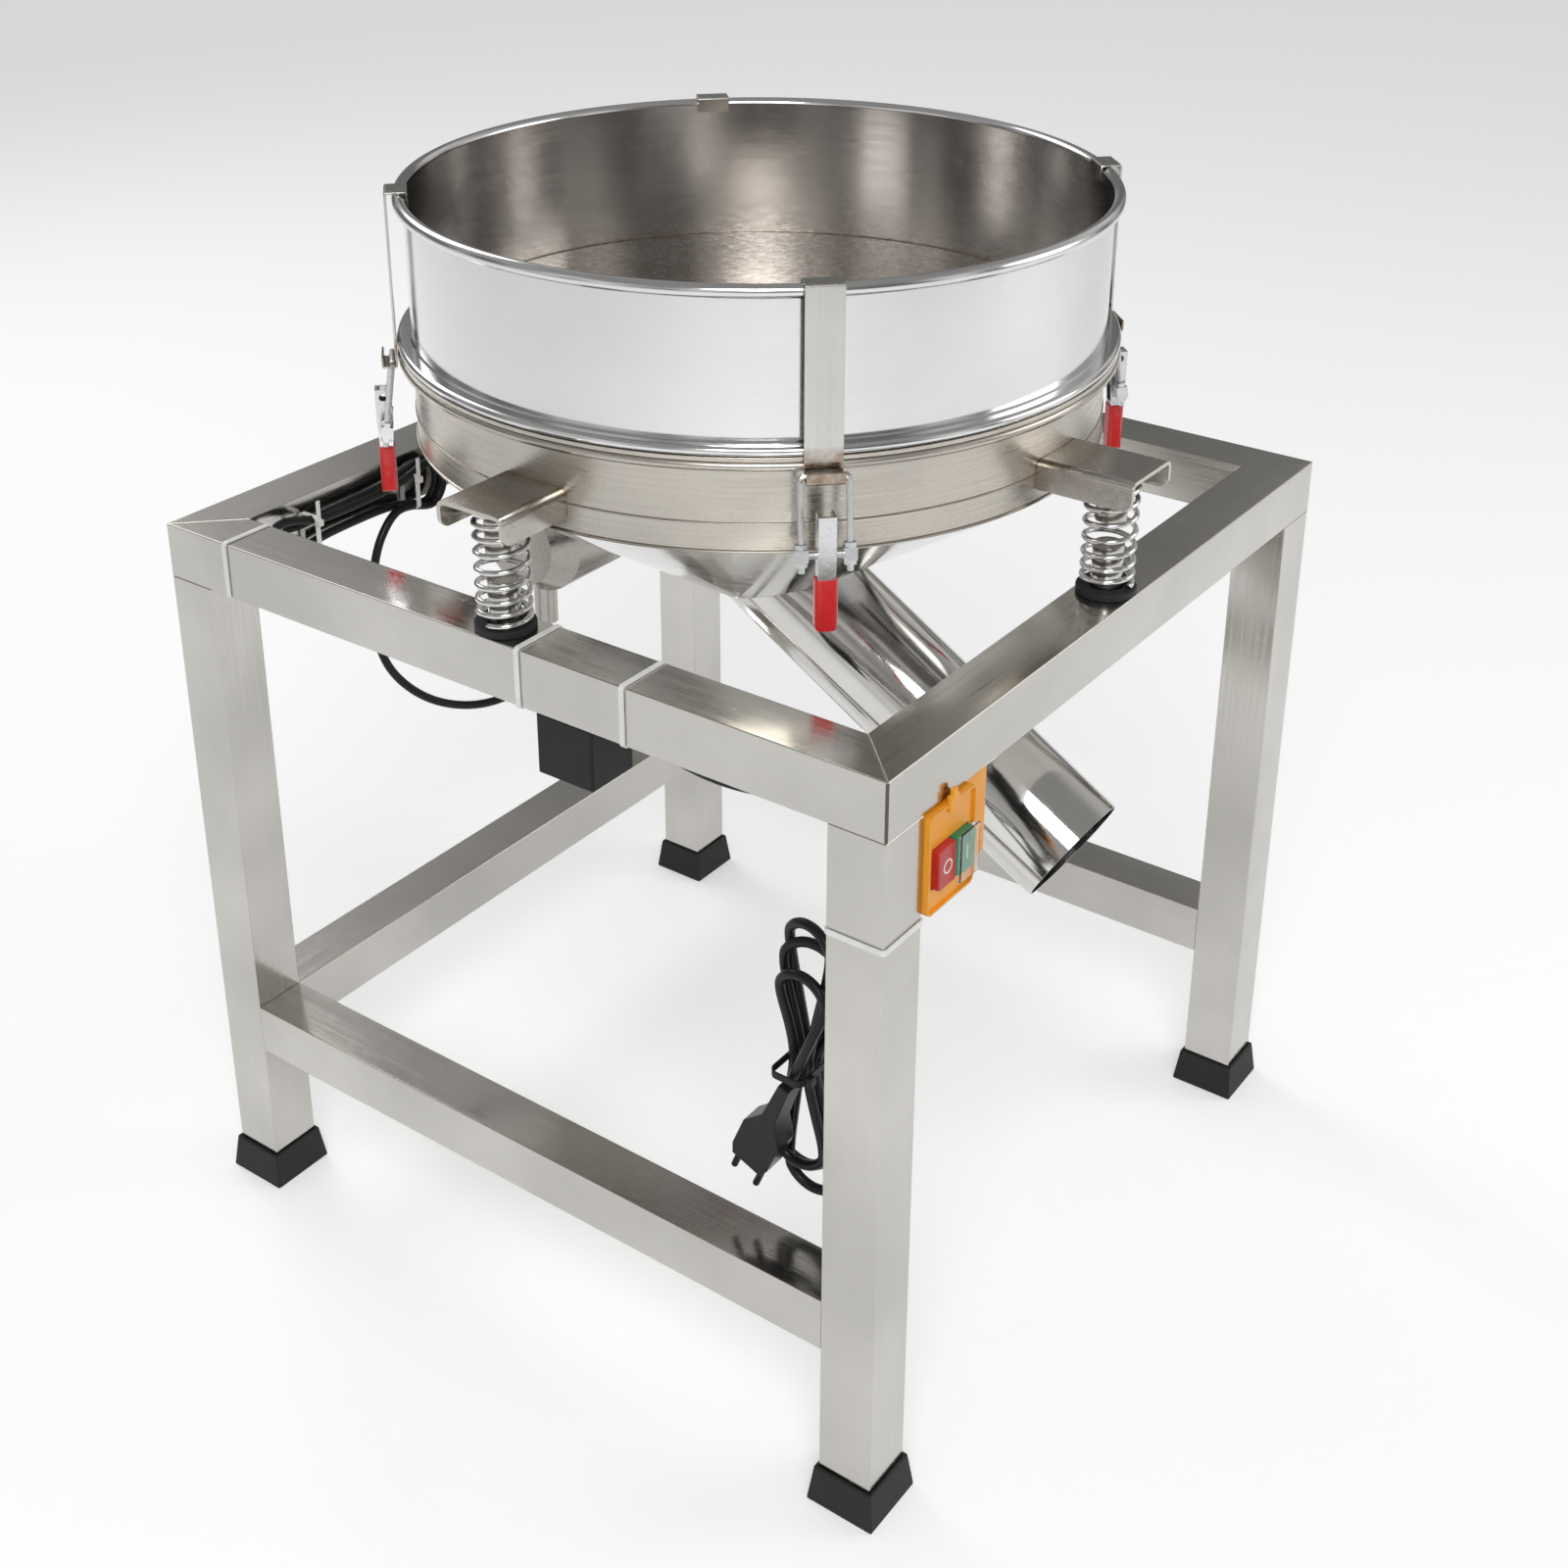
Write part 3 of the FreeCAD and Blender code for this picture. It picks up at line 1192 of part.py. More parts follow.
def motor_hank():
    """The tied spare length of the motor cable inside the back rail."""
    bundle = body("motor_hank")
    face = sketch(bundle, "XZ_Plane", "Face")
    high = "(frame_height - bundle_top)"
    low = f"({high} - bundle_tall)"
    strand = f"({high} - cable_diameter * 2)"
    corner = f"-({HALF_WIDTH} - tube)"
    outline(face, [(corner, strand), ("-bundle_left", strand), ("-bundle_left + bundle_depth", high),
                   ("-bundle_right", high), ("-bundle_right", low),
                   ("-bundle_left + bundle_depth", low), ("-bundle_left", f"{strand} - bundle_depth"),
                   ("-bundle_left", f"{strand} - cable_diameter"),
                   (corner, f"{strand} - cable_diameter")])
    bind(face, "AttachmentOffset.Base.z", f"-{BUNDLE_BACK}")
    pad(bundle, face, "bundle_depth")
    return node(bundle, "motor_hank")


def motor_cable():
    """The cable that hangs in a slack bow from its tied length to the gland of the motor."""
    start = place("-bundle_right * 2", f"{BUNDLE_BACK} - bundle_depth / 2",
                  "frame_height - bundle_top - bundle_tall")
    entry = place("-motor_gland_side", "motor_back",
                  "motor_height - motor_radius - motor_gland_length + cable_entry")
    route = offsets(start, MOTOR_ROUTE) + offsets(entry, MOTOR_END)
    tube("motor_cable", route, value("cable_diameter"))


# ---------------------------------------------------------------- the whole sieve
def build():
    for side in SIDES:
        top_rail(side)
        spring_pad(side)
        spring(side)
        bracket(side)
    for corner in CORNERS:
        leg(corner)
        foot(corner)
    for side in ("left", "right", "back"):
        lower_rail(side)
    pan()
    cone()
    chute()
    screen()
    hopper()
    for corner in LATCHES:
        strap(corner)
        lever(corner)
        grip(corner)
        bolt(corner)
    motor_body()
    rotor()
    switch_box()
    button("button_stop", -1)
    button("button_start", 1)
    junction_box()
    power_cord()
    power_hank()
    power_plug()
    switch_cable()
    motor_hank()
    motor_cable()
    doc.recompute()


def check():
    """Stops before anything is written if a feature or a sub-part has failed."""
    for thing in doc.Objects:
        if {"Invalid", "Error"} & set(thing.State):
            raise ValueError(f"{thing.Name} failed: {thing.State}")
    for thing in NODES:
        if thing.Shape.isNull() or not thing.Shape.isValid():
            raise ValueError(f"{thing.Label} has no valid shape")


def write():
    os.makedirs("parts", exist_ok=True)
    for thing in NODES:
        thing.Shape.exportStep(f"parts/{thing.Label}.step")
    print(len(NODES), "sub-parts written")


build()
check()
write()
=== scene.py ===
"""Looks of the small vibrating sieve: finishes, wire, cords, switch face, camera and light.

Metres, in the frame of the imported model: +Z is up, the chute points to -Y.
"""
import math

import bmesh
import bpy
from mathutils import Matrix, Vector


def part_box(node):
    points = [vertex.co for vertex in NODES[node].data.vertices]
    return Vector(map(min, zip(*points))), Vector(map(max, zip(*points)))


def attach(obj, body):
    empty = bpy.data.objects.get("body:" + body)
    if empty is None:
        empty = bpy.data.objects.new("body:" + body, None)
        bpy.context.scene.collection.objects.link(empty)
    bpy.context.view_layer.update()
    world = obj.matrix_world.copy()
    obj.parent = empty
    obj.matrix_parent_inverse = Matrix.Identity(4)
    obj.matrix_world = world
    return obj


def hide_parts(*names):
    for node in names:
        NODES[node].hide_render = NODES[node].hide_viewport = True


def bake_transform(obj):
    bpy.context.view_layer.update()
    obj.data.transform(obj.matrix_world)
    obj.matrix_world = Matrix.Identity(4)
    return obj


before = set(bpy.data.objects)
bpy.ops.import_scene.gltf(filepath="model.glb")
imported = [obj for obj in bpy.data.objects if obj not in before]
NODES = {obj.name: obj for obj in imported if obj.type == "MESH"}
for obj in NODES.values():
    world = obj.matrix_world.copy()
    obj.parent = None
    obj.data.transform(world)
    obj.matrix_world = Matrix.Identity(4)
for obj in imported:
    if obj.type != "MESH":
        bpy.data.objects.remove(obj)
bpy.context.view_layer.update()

SIDES = {"left": 180, "right": 0, "front": 270, "back": 90}
CORNERS = {"front_left": 225, "front_right": 315, "back_right": 45, "back_left": 135}

# Sizes that several pieces share, most read from the imported model.
RAIL_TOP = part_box("spring_pad_left")[0].z
RAIL_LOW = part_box("leg_front_left")[1].z
HALF_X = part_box("rail_top_right")[1].x
HALF_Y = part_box("rail_top_back")[1].y
TUBE = RAIL_TOP - RAIL_LOW
PAN_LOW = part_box("pan")[0].z
PAN_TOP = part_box("pan")[1].z
RING_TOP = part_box("screen")[1].z
FLANGE_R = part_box("pan")[1].x
PAN_R = FLANGE_R - 0.010
WALL = 0.002
HOPPER_TOP = 0.792
SPRING_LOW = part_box("spring_pad_left")[1].z
SPRING_HIGH = 0.647


# ---------------------------------------------------------------- camera
def camera():
    """Looks down on the front left corner of the stand."""
    target = Vector((0.01017, -0.01409, 0.52715))
    azimuth, elevation, roll = math.radians(-54.35), math.radians(23.99), math.radians(0.19)
    distance = 1.56681
    back = Vector((math.sin(azimuth) * math.cos(elevation),
                   -math.cos(azimuth) * math.cos(elevation), math.sin(elevation)))
    lens = bpy.data.cameras.new("camera")
    lens.sensor_width = 36.0
    lens.lens = 49.37
    lens.shift_y = -0.16
    lens.clip_end = 50.0
    eye = bpy.data.objects.new("camera", lens)
    turn = back.to_track_quat("Z", "Y").to_matrix() @ Matrix.Rotation(roll, 3, "Z")
    eye.matrix_world = Matrix.Translation(target + back * distance) @ turn.to_4x4()
    bpy.context.scene.collection.objects.link(eye)
    bpy.context.scene.camera = eye


# ---------------------------------------------------------------- material nodes
def add(tree, kind, values=None, **fields):
    """Adds a shader node; a value is either a number or the socket that feeds it."""
    made = tree.nodes.new(kind)
    for name, value in fields.items():
        setattr(made, name, value)
    for name, value in (values or {}).items():
        socket = made.inputs[name]
        if isinstance(value, bpy.types.NodeSocket):
            tree.links.new(value, socket)
        else:
            socket.default_value = value
    return made


def blank(name):
    material = bpy.data.materials.new(name)
    material.use_nodes = True
    tree = material.node_tree
    tree.nodes.clear()
    shader = add(tree, "ShaderNodeBsdfPrincipled")
    output = add(tree, "ShaderNodeOutputMaterial", {"Surface": shader.outputs["BSDF"]})
    place = add(tree, "ShaderNodeTexCoord").outputs["Object"]
    return material, tree, shader, place, output


def noise(tree, place, scale, detail=3.0, rough=0.55):
    values = {"Vector": place, "Scale": scale, "Detail": detail, "Roughness": rough}
    return add(tree, "ShaderNodeTexNoise", values).outputs["Fac"]


def stretched(tree, place, scale):
    return add(tree, "ShaderNodeMapping", {"Vector": place, "Scale": scale}).outputs["Vector"]


def ranged(tree, value, low, high, to_low, to_high):
    """Maps a value from one range to another and clamps it."""
    values = {"Value": value, "From Min": low, "From Max": high, "To Min": to_low,
              "To Max": to_high}
    return add(tree, "ShaderNodeMapRange", values).outputs["Result"]


def mixed(tree, factor, first, second, kind="MIX"):
    made = add(tree, "ShaderNodeMix", data_type="RGBA", blend_type=kind)
    for index, value in ((0, factor), (6, first), (7, second)):
        if isinstance(value, bpy.types.NodeSocket):
            tree.links.new(value, made.inputs[index])
        else:
            made.inputs[index].default_value = value
    return made.outputs[2]


def maths(tree, operation, first, second=0.0):
    made = add(tree, "ShaderNodeMath", operation=operation)
    for index, value in enumerate((first, second)):
        if isinstance(value, bpy.types.NodeSocket):
            tree.links.new(value, made.inputs[index])
        else:
            made.inputs[index].default_value = value
    return made.outputs["Value"]


def mixed_value(tree, share, first, second):
    """Goes from one value to another as the share goes from 0 to 1."""
    gone = maths(tree, "SUBTRACT", 1.0, share)
    return maths(tree, "ADD", maths(tree, "MULTIPLY", first, gone),
                 maths(tree, "MULTIPLY", share, second))


def colour(red, green, blue):
    return (red, green, blue, 1.0)


HEAT_BROWN = (0.23, 0.135, 0.07, 1.0)


def steel(name, tone, rough, grain, streak=0.06, cloud=0.16, bump=0.08, tint=None):
    """Stainless sheet: long fine grain, cloudy tone, faint marks and, with tint, heat colour.

    grain is the scale of the streaks along X, Y and Z; tint is a function that gives the
    share of heat colour from the tree and the place.
    """
    material, tree, shader, place, _ = blank(name)
    streaks = noise(tree, stretched(tree, place, grain), 1.0, 4.0, 0.6)
    clouds = noise(tree, place, 7.0, 3.0, 0.5)
    marks = noise(tree, stretched(tree, place, (90, 90, 90)), 1.0, 6.0, 0.75)
    dark = colour(*(part * (1 - cloud) for part in tone))
    darker = colour(*(part * 0.8 for part in tone))
    base = mixed(tree, ranged(tree, clouds, 0.35, 0.65, 0.0, 1.0), colour(*tone), dark)
    base = mixed(tree, ranged(tree, streaks, 0.3, 0.7, 0.0, streak * 2), base, darker)
    if tint:
        base = mixed(tree, tint(tree, place), base, HEAT_BROWN)
    tree.links.new(base, shader.inputs["Base Color"])
    shader.inputs["Metallic"].default_value = 1.0
    roughness = maths(tree, "ADD", ranged(tree, streaks, 0.3, 0.7, rough - streak, rough + streak),
                      ranged(tree, marks, 0.55, 0.75, 0.0, 0.10))
    tree.links.new(roughness, shader.inputs["Roughness"])
    raised = add(tree, "ShaderNodeBump", {"Strength": bump, "Distance": 0.0004, "Height": streaks})
    tree.links.new(raised.outputs["Normal"], shader.inputs["Normal"])
    return material


def plastic(name, tone, rough, texture=900.0, bump=0.06, coat=0.0):
    """Moulded plastic or rubber with a fine skin, uneven gloss and a little dust."""
    material, tree, shader, place, _ = blank(name)
    skin = noise(tree, place, texture, 2.0)
    dust = noise(tree, place, 22.0, 5.0, 0.65)
    lighter = colour(*(min(1.0, part * 1.25 + 0.012) for part in tone))
    base = mixed(tree, ranged(tree, dust, 0.45, 0.75, 0.0, 0.7), colour(*tone), lighter)
    tree.links.new(base, shader.inputs["Base Color"])
    tree.links.new(ranged(tree, dust, 0.3, 0.7, rough - 0.06, rough + 0.08),
                   shader.inputs["Roughness"])
    shader.inputs["Coat Weight"].default_value = coat
    shader.inputs["Specular IOR Level"].default_value = 0.5 if coat or max(tone) > 0.1 else 0.25
    raised = add(tree, "ShaderNodeBump", {"Strength": bump, "Distance": 0.0002, "Height": skin})
    tree.links.new(raised.outputs["Normal"], shader.inputs["Normal"])
    return material


def heat_between(low, high, peak=0.85):
    """Heat colour in a band of heights, broken up by noise."""
    def share(tree, place):
        height = add(tree, "ShaderNodeSeparateXYZ", {"Vector": place}).outputs["Z"]
        middle, half = (low + high) / 2, (high - low) / 2
        away = maths(tree, "ABSOLUTE", maths(tree, "SUBTRACT", height, middle))
        band = ranged(tree, away, half * 0.5, half, 1.0, 0.0)
        patchy = ranged(tree, noise(tree, place, 120.0), 0.3, 0.6, 0.35, 1.0)
        return maths(tree, "MULTIPLY", maths(tree, "MULTIPLY", band, patchy), peak)
    return share


def heat_near_wall(reach, peak=0.6):
    """Heat colour close to the round pan wall, where a piece is welded on."""
    def share(tree, place):
        flat = add(tree, "ShaderNodeVectorMath", {0: place, 1: (1.0, 1.0, 0.0)},
                   operation="MULTIPLY").outputs["Vector"]
        length = add(tree, "ShaderNodeVectorMath", {0: flat}, operation="LENGTH")
        band = ranged(tree, length.outputs["Value"], PAN_R, PAN_R + reach, 1.0, 0.0)
        patchy = ranged(tree, noise(tree, place, 150.0), 0.3, 0.6, 0.3, 1.0)
        return maths(tree, "MULTIPLY", maths(tree, "MULTIPLY", band, patchy), peak)
    return share


FRAME_TONE = (0.60, 0.585, 0.55)
SHEET_TONE = (0.60, 0.57, 0.52)
ALONG = {"x": (6, 420, 420), "y": (420, 6, 420), "z": (420, 420, 6)}
FRAME_STEEL = {axis: steel(f"frame_steel_{axis}", FRAME_TONE, 0.17, ALONG[axis])
               for axis in ALONG}
SPUN = (9, 9, 650)
PAN_STEEL = steel("pan_steel", (0.56, 0.525, 0.47), 0.27, SPUN, 0.08, 0.22)
SHEET_STEEL = steel("sheet_steel", SHEET_TONE, 0.24, (160, 160, 160), 0.05, 0.2,
                    tint=heat_near_wall(0.012))
DRUM_STEEL = steel("drum_steel", (0.74, 0.74, 0.745), 0.13, SPUN, 0.04, 0.08, 0.04)
MIRROR_STEEL = steel("mirror_steel", (0.70, 0.69, 0.67), 0.09, (30, 30, 30), 0.03, 0.12, 0.03)
STRAP_STEEL = steel("strap_steel", (0.62, 0.61, 0.58), 0.2, ALONG["z"],
                    tint=heat_between(0.668, 0.694))
PLATED = steel("plated_steel", (0.68, 0.69, 0.70), 0.24, (300, 300, 300), 0.06, 0.15)
WIRE = steel("spring_wire", (0.72, 0.72, 0.71), 0.16, (300, 300, 300), 0.05, 0.15)
MOTOR_SHELL = steel("motor_shell", (0.47, 0.445, 0.41), 0.25, (7, 500, 500), 0.06, 0.2)
RUBBER = plastic("black_rubber", (0.018, 0.018, 0.019), 0.55)
CORD = plastic("cord_sheath", (0.010, 0.010, 0.011), 0.33, 500.0, 0.03)
BLACK = plastic("black_plastic", (0.009, 0.009, 0.010), 0.42, 1400.0, 0.10)
YELLOW = plastic("yellow_plastic", (0.83, 0.33, 0.015), 0.32)
RED = plastic("red_plastic", (0.62, 0.010, 0.012), 0.28, 700.0, 0.03, 0.3)
BUTTON_RED = plastic("button_red", (0.45, 0.02, 0.018), 0.30)
GREEN = plastic("button_green", (0.03, 0.22, 0.10), 0.32)
WHITE = plastic("white_nylon", (0.80, 0.80, 0.78), 0.35)
MARK = plastic("mark_white", (0.75, 0.70, 0.66), 0.4)
WELD = steel("weld_bead", (0.16, 0.145, 0.125), 0.42, (700, 700, 700), 0.08, 0.3, 0.3)


def clear_plastic():
    """Clear moulding with a few rubbed patches."""
    material, tree, shader, place, _ = blank("clear_plastic")
    shader.inputs["Base Color"].default_value = colour(0.93, 0.94, 0.95)
    shader.inputs["Transmission Weight"].default_value = 1.0
    shader.inputs["IOR"].default_value = 1.35
    tree.links.new(ranged(tree, noise(tree, place, 160.0), 0.45, 0.7, 0.03, 0.16),
                   shader.inputs["Roughness"])
    return material


CLEAR = clear_plastic()


# ---------------------------------------------------------------- mesh helpers
def made(name, mesh, material, body, slot=None, stands_for=(), angle=35):
    """Turns a mesh into a finished piece that rides on a body."""
    piece = bpy.data.objects.new(name, mesh)
    bpy.context.scene.collection.objects.link(piece)
    mesh.materials.clear()
    mesh.materials.append(material)
    if angle:
        mesh.shade_smooth()
        mesh.set_sharp_from_angle(angle=math.radians(angle))
        flat = piece.modifiers.new("flat_faces", "WEIGHTED_NORMAL")
        flat.keep_sharp = True
    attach(piece, body)
    if stands_for:
        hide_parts(*stands_for)
    return piece


def mesh_of(name, points, faces):
    mesh = bpy.data.meshes.new(name)
    mesh.from_pydata([tuple(point) for point in points], [], faces)
    mesh.validate()
    return mesh


def joined(name, parts):
    """One mesh out of several."""
    shape = bmesh.new()
    for part in parts:
        shape.from_mesh(part)
    mesh = bpy.data.meshes.new(name)
    shape.to_mesh(mesh)
    shape.free()
    return mesh


def moved(mesh, matrix):
    mesh.transform(matrix)
    return mesh


def bevelled(mesh, width, segments=2, angle=30):
    """Rounds the edges of a mesh where two faces meet at more than the angle."""
    shape = bmesh.new()
    shape.from_mesh(mesh)
    bmesh.ops.remove_doubles(shape, verts=shape.verts, dist=1e-6)
    bmesh.ops.dissolve_limit(shape, angle_limit=math.radians(0.5), verts=shape.verts,
                             edges=shape.edges)
    limit = math.radians(angle)
    edges = [edge for edge in shape.edges
             if len(edge.link_faces) == 2 and edge.calc_face_angle(0.0) > limit]
    bmesh.ops.bevel(shape, geom=edges, offset=width, offset_type="OFFSET", segments=segments,
                    profile=0.5, affect="EDGES", clamp_overlap=True, harden_normals=False)
    made_mesh = bpy.data.meshes.new(mesh.name + "_rounded")
    shape.to_mesh(made_mesh)
    shape.free()
    return made_mesh


def lathe(name, profile, steps=192, closed=False):
    """Turns a profile of (radius, height) points about the vertical axis."""
    count = len(profile)
    points = []
    for step in range(steps):
        turn = 2 * math.pi * step / steps
        points += [(r * math.cos(turn), r * math.sin(turn), z) for r, z in profile]
    faces = []
    for step in range(steps):
        here, after = step * count, (step + 1) % steps * count
        for i in range(count if closed else count - 1):
            j = (i + 1) % count
            faces.append((here + i, after + i, after + j, here + j))
    return mesh_of(name, points, faces)


def arc(centre, radius, start, end, steps):
    """Points of an arc in a plane, from one angle to another, in degrees."""
    turns = [math.radians(start + (end - start) * i / steps) for i in range(steps + 1)]
    return [(centre[0] + radius * math.cos(t), centre[1] + radius * math.sin(t)) for t in turns]


def frames(route, closed=False):
    """Carries a pair of normals along a route without twisting it."""
    count = len(route)
    found = []
    side = None
    for i, point in enumerate(route):
        after = route[(i + 1) % count] if closed or i + 1 < count else point
        before = route[i - 1] if closed or i else point
        ahead = (after - before).normalized()
        if side is None:
            side = ahead.orthogonal().normalized()
        side = (side - ahead * side.dot(ahead)).normalized()
        found.append((point, side, ahead.cross(side)))
    return found


def swept(name, route, section, closed=False):
    """Sweeps a section, a list of (a, b) offsets, along a route."""
    count = len(section)
    points = []
    for point, side, up in frames(route, closed):
        points += [point + side * a + up * b for a, b in section]
    faces = []
    rings = len(route)
    for ring in range(rings if closed else rings - 1):
        here, after = ring * count, (ring + 1) % rings * count
        for i in range(count):
            j = (i + 1) % count
            faces.append((here + i, here + j, after + j, after + i))
    if not closed:
        faces.append(tuple(range(count))[::-1])
        faces.append(tuple((rings - 1) * count + i for i in range(count)))
    return mesh_of(name, points, faces)


def ring_section(radius, sides=12):
    turns = [2 * math.pi * i / sides for i in range(sides)]
    return [(radius * math.cos(t), radius * math.sin(t)) for t in turns]


def rod(name, start, end, radius, sides=24):
    """A straight round bar with slightly broken edges."""
    start, end = Vector(start), Vector(end)
    ahead = (end - start).normalized()
    edge = min(radius * 0.15, 0.0006)
    side = ahead.orthogonal().normalized()
    up = ahead.cross(side)
    points = []
    for point, size in ((start, radius - edge), (start + ahead * edge, radius),
                        (end - ahead * edge, radius), (end, radius - edge)):
        points += [point + side * a * size + up * b * size for a, b in ring_section(1.0, sides)]
    faces = []
    for ring in range(3):
        here, after = ring * sides, (ring + 1) * sides
        for i in range(sides):
            j = (i + 1) % sides
            faces.append((here + i, here + j, after + j, after + i))
    faces.append(tuple(range(sides))[::-1])
    faces.append(tuple(3 * sides + i for i in range(sides)))
    return mesh_of(name, points, faces)


def block(name, low, high, bevel=0.001, segments=3):
    """A box between two corners with rounded edges."""
    shape = bmesh.new()
    bmesh.ops.create_cube(shape, size=1.0)
    for vert in shape.verts:
        for i in range(3):
            vert.co[i] = low[i] if vert.co[i] < 0 else high[i]
    bmesh.ops.bevel(shape, geom=shape.edges[:], offset=bevel, segments=segments, profile=0.5,
                    affect="EDGES", clamp_overlap=True)
    mesh = bpy.data.meshes.new(name)
    shape.to_mesh(mesh)
    shape.free()
    return mesh


def turned(angle, reach):
    """A place at a distance from the middle, turned about the vertical axis."""
    return Matrix.Rotation(math.radians(angle), 4, "Z") @ Matrix.Translation((reach, 0, 0))


def copy_of(node, width, material, body, slot, angle=30, smooth=35):
    """A CAD node with its edges rounded and a finish of its own."""
    mesh = bevelled(NODES[node].data, width, 2, angle)
    mesh.name = f"{node}_dressed"
    return made(f"{node}_dressed", mesh, material, body, slot, (node,), smooth)


def loop_round(axis, low, high, corner):
    """A rounded rectangle round a box, across an axis: points and outward normals."""
    first, second = [i for i in range(3) if i != axis]
    found = []
    for turn, (a, b) in enumerate(((1, 1), (0, 1), (0, 0), (1, 0))):
        middle = ((low, high)[a][first] + (-corner, corner)[1 - a],
                  (low, high)[b][second] + (-corner, corner)[1 - b])
        for step in range(7):
            bearing = math.radians(90 * turn + 15 * step)
            normal = Vector((0, 0, 0))
            normal[first], normal[second] = math.cos(bearing), math.sin(bearing)
            point = normal * corner
            point[first] += middle[0]
            point[second] += middle[1]
            found.append((point, normal))
    return found


def band(name, axis, at, low, high, corner=0.002, width=0.0036, thick=0.0011):
    """A flat strap bent round a box, across an axis."""
    points, faces = [], []
    route = loop_round(axis, low, high, corner)
    for point, normal in route:
        for out, along in ((0, -1), (0, 1), (1, 1), (1, -1)):
            spot = point + normal * thick * out
            spot[axis] = at + along * width / 2
            points.append(spot)
    for i in range(len(route)):
        here, after = i * 4, (i + 1) % len(route) * 4
        for j in range(4):
            k = (j + 1) % 4
            faces.append((here + j, after + j, after + k, here + k))
    mesh = mesh_of(name, points, faces)
    shape = bmesh.new()
    shape.from_mesh(mesh)
    bmesh.ops.recalc_face_normals(shape, faces=shape.faces)
    shape.to_mesh(mesh)
    shape.free()
    return mesh


def cable_tie(name, axis, at, low, high, head, tail):
    """A white cable tie: its strap, its lock at a place and the cut tail that leaves it."""
    head, tail = Vector(head), Vector(tail)
    half = Vector((0.0024, 0.0024, 0.0024))
    lock = block(f"{name}_lock", head - half, head + half, 0.0006, 2)
    side = Vector((0.0018, 0.0018, 0.0018))
    way = max(range(3), key=lambda i: abs(tail[i]))
    thin = [i for i in range(3) if i not in (way, axis)][0]
    side[thin] = 0.0005
    side[way] = 0
    ends = [head - side, head + side]
    ends[1 if tail[way] > 0 else 0][way] += tail[way]
    strip = block(f"{name}_tail", ends[0], ends[1], 0.0003, 1)
    mesh = joined(name, [band(name, axis, at, low, high), lock, strip])
    made(name, mesh, WHITE, "frame")


# ---------------------------------------------------------------- cords
def lead(name, route, diameter, material, body="frame"):
    """A cord on one smooth spline through a route of control points, in millimetres."""
    curve = bpy.data.curves.new(name, "CURVE")
    curve.dimensions = "3D"
    curve.bevel_depth = diameter / 2
    curve.bevel_resolution = 5
    curve.resolution_u = 10
    curve.use_fill_caps = True
    spline = curve.splines.new("NURBS")
    spline.points.add(len(route) - 1)
    for point, place in zip(spline.points, route):
        point.co = (place[0] / 1000, place[1] / 1000, place[2] / 1000, 1.0)
    spline.order_u = 3
    spline.use_endpoint_u = True
    curve.materials.append(material)
    piece = bpy.data.objects.new(name, curve)
    bpy.context.scene.collection.objects.link(piece)
    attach(piece, body)
    return piece


def crown(radius, start, end, count=6):
    """Control points of a half turn, as (across, along) offsets from its middle."""
    reach = radius / math.cos(math.radians((end - start) / count / 2))
    turns = [math.radians(start + (end - start) * (i + 0.5) / count) for i in range(count)]
    return [(reach * math.cos(turn), reach * math.sin(turn)) for turn in turns]


def mains_lead():
    """Out of the gland, folded three times in a tied hank, and down into the plug."""
    route = [(-213, -270, 436), (-215, -268, 396), (-226, -246, 350), (-231, -221, 318)]
    across, tie, fold = -207, 296, 21.0
    waist, shoulder, shoulder_up = 4.5, 9, 26
    # Each half turn: its end, reach from the tie, lean, and X before and after.
    loops = (("low", 102, -6, -231, -231), ("high", 86, 0, -231, -224),
             ("low", 92, 7, -224, -224), ("high", 101, -1, -224, -238),
             ("low", 80, 1, -238, -238), ("high", 70, -3, -238, -245))
    for end, reach, lean, before, after in loops:
        way = 1 if end == "high" else -1
        route += [(before, across + waist * way, tie + 4 * way),
                  (before, across + shoulder * way + lean * 0.2, tie + shoulder_up * way)]
        turn = crown(fold, 0, 180) if way > 0 else crown(fold, 180, 360)
        for step, (sideways, along) in enumerate(turn):
            share = (step + 0.5) / len(turn)
            route.append((before + (after - before) * share, across + lean + sideways,
                          tie + way * (reach - fold) + along))
        if loops[-1][1] != reach:
            route.append((after, across - shoulder * way + lean * 0.2,
                          tie + shoulder_up * way))
    route += [(-250, -224, 332), (-251, -217, 312), (-251, -207, 288)]
    cord = lead("mains_lead", route, 0.007, CORD)
    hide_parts("power_cord", "power_hank")
    plug = copy_of("power_plug", 0.0008, CORD, "frame", "cord_rubber")
    tie_mesh = band("hank_tie", 2, 0.296, (-0.2565, -0.219, 0), (-0.2200, -0.196, 0), 0.005,
                    0.005, 0.0012)
    lock = block("hank_lock", (-0.2525, -0.2245, 0.2925), (-0.2460, -0.2190, 0.2995), 0.001)
    made("hank_tie", joined("hank_tie", [tie_mesh, lock]), BLACK, "frame")


def switch_lead():
    """From the junction box along the rail to the switch housing."""
    route = [(-266, -63.5, 514.5), (-264, -107.5, 509.5), (-252, -157.5, 490.5),
             (-232, -207.5, 490.5), (-225, -255, 499)]
    cord = lead("switch_lead", route, 0.0065, CORD)
    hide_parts("switch_cable")


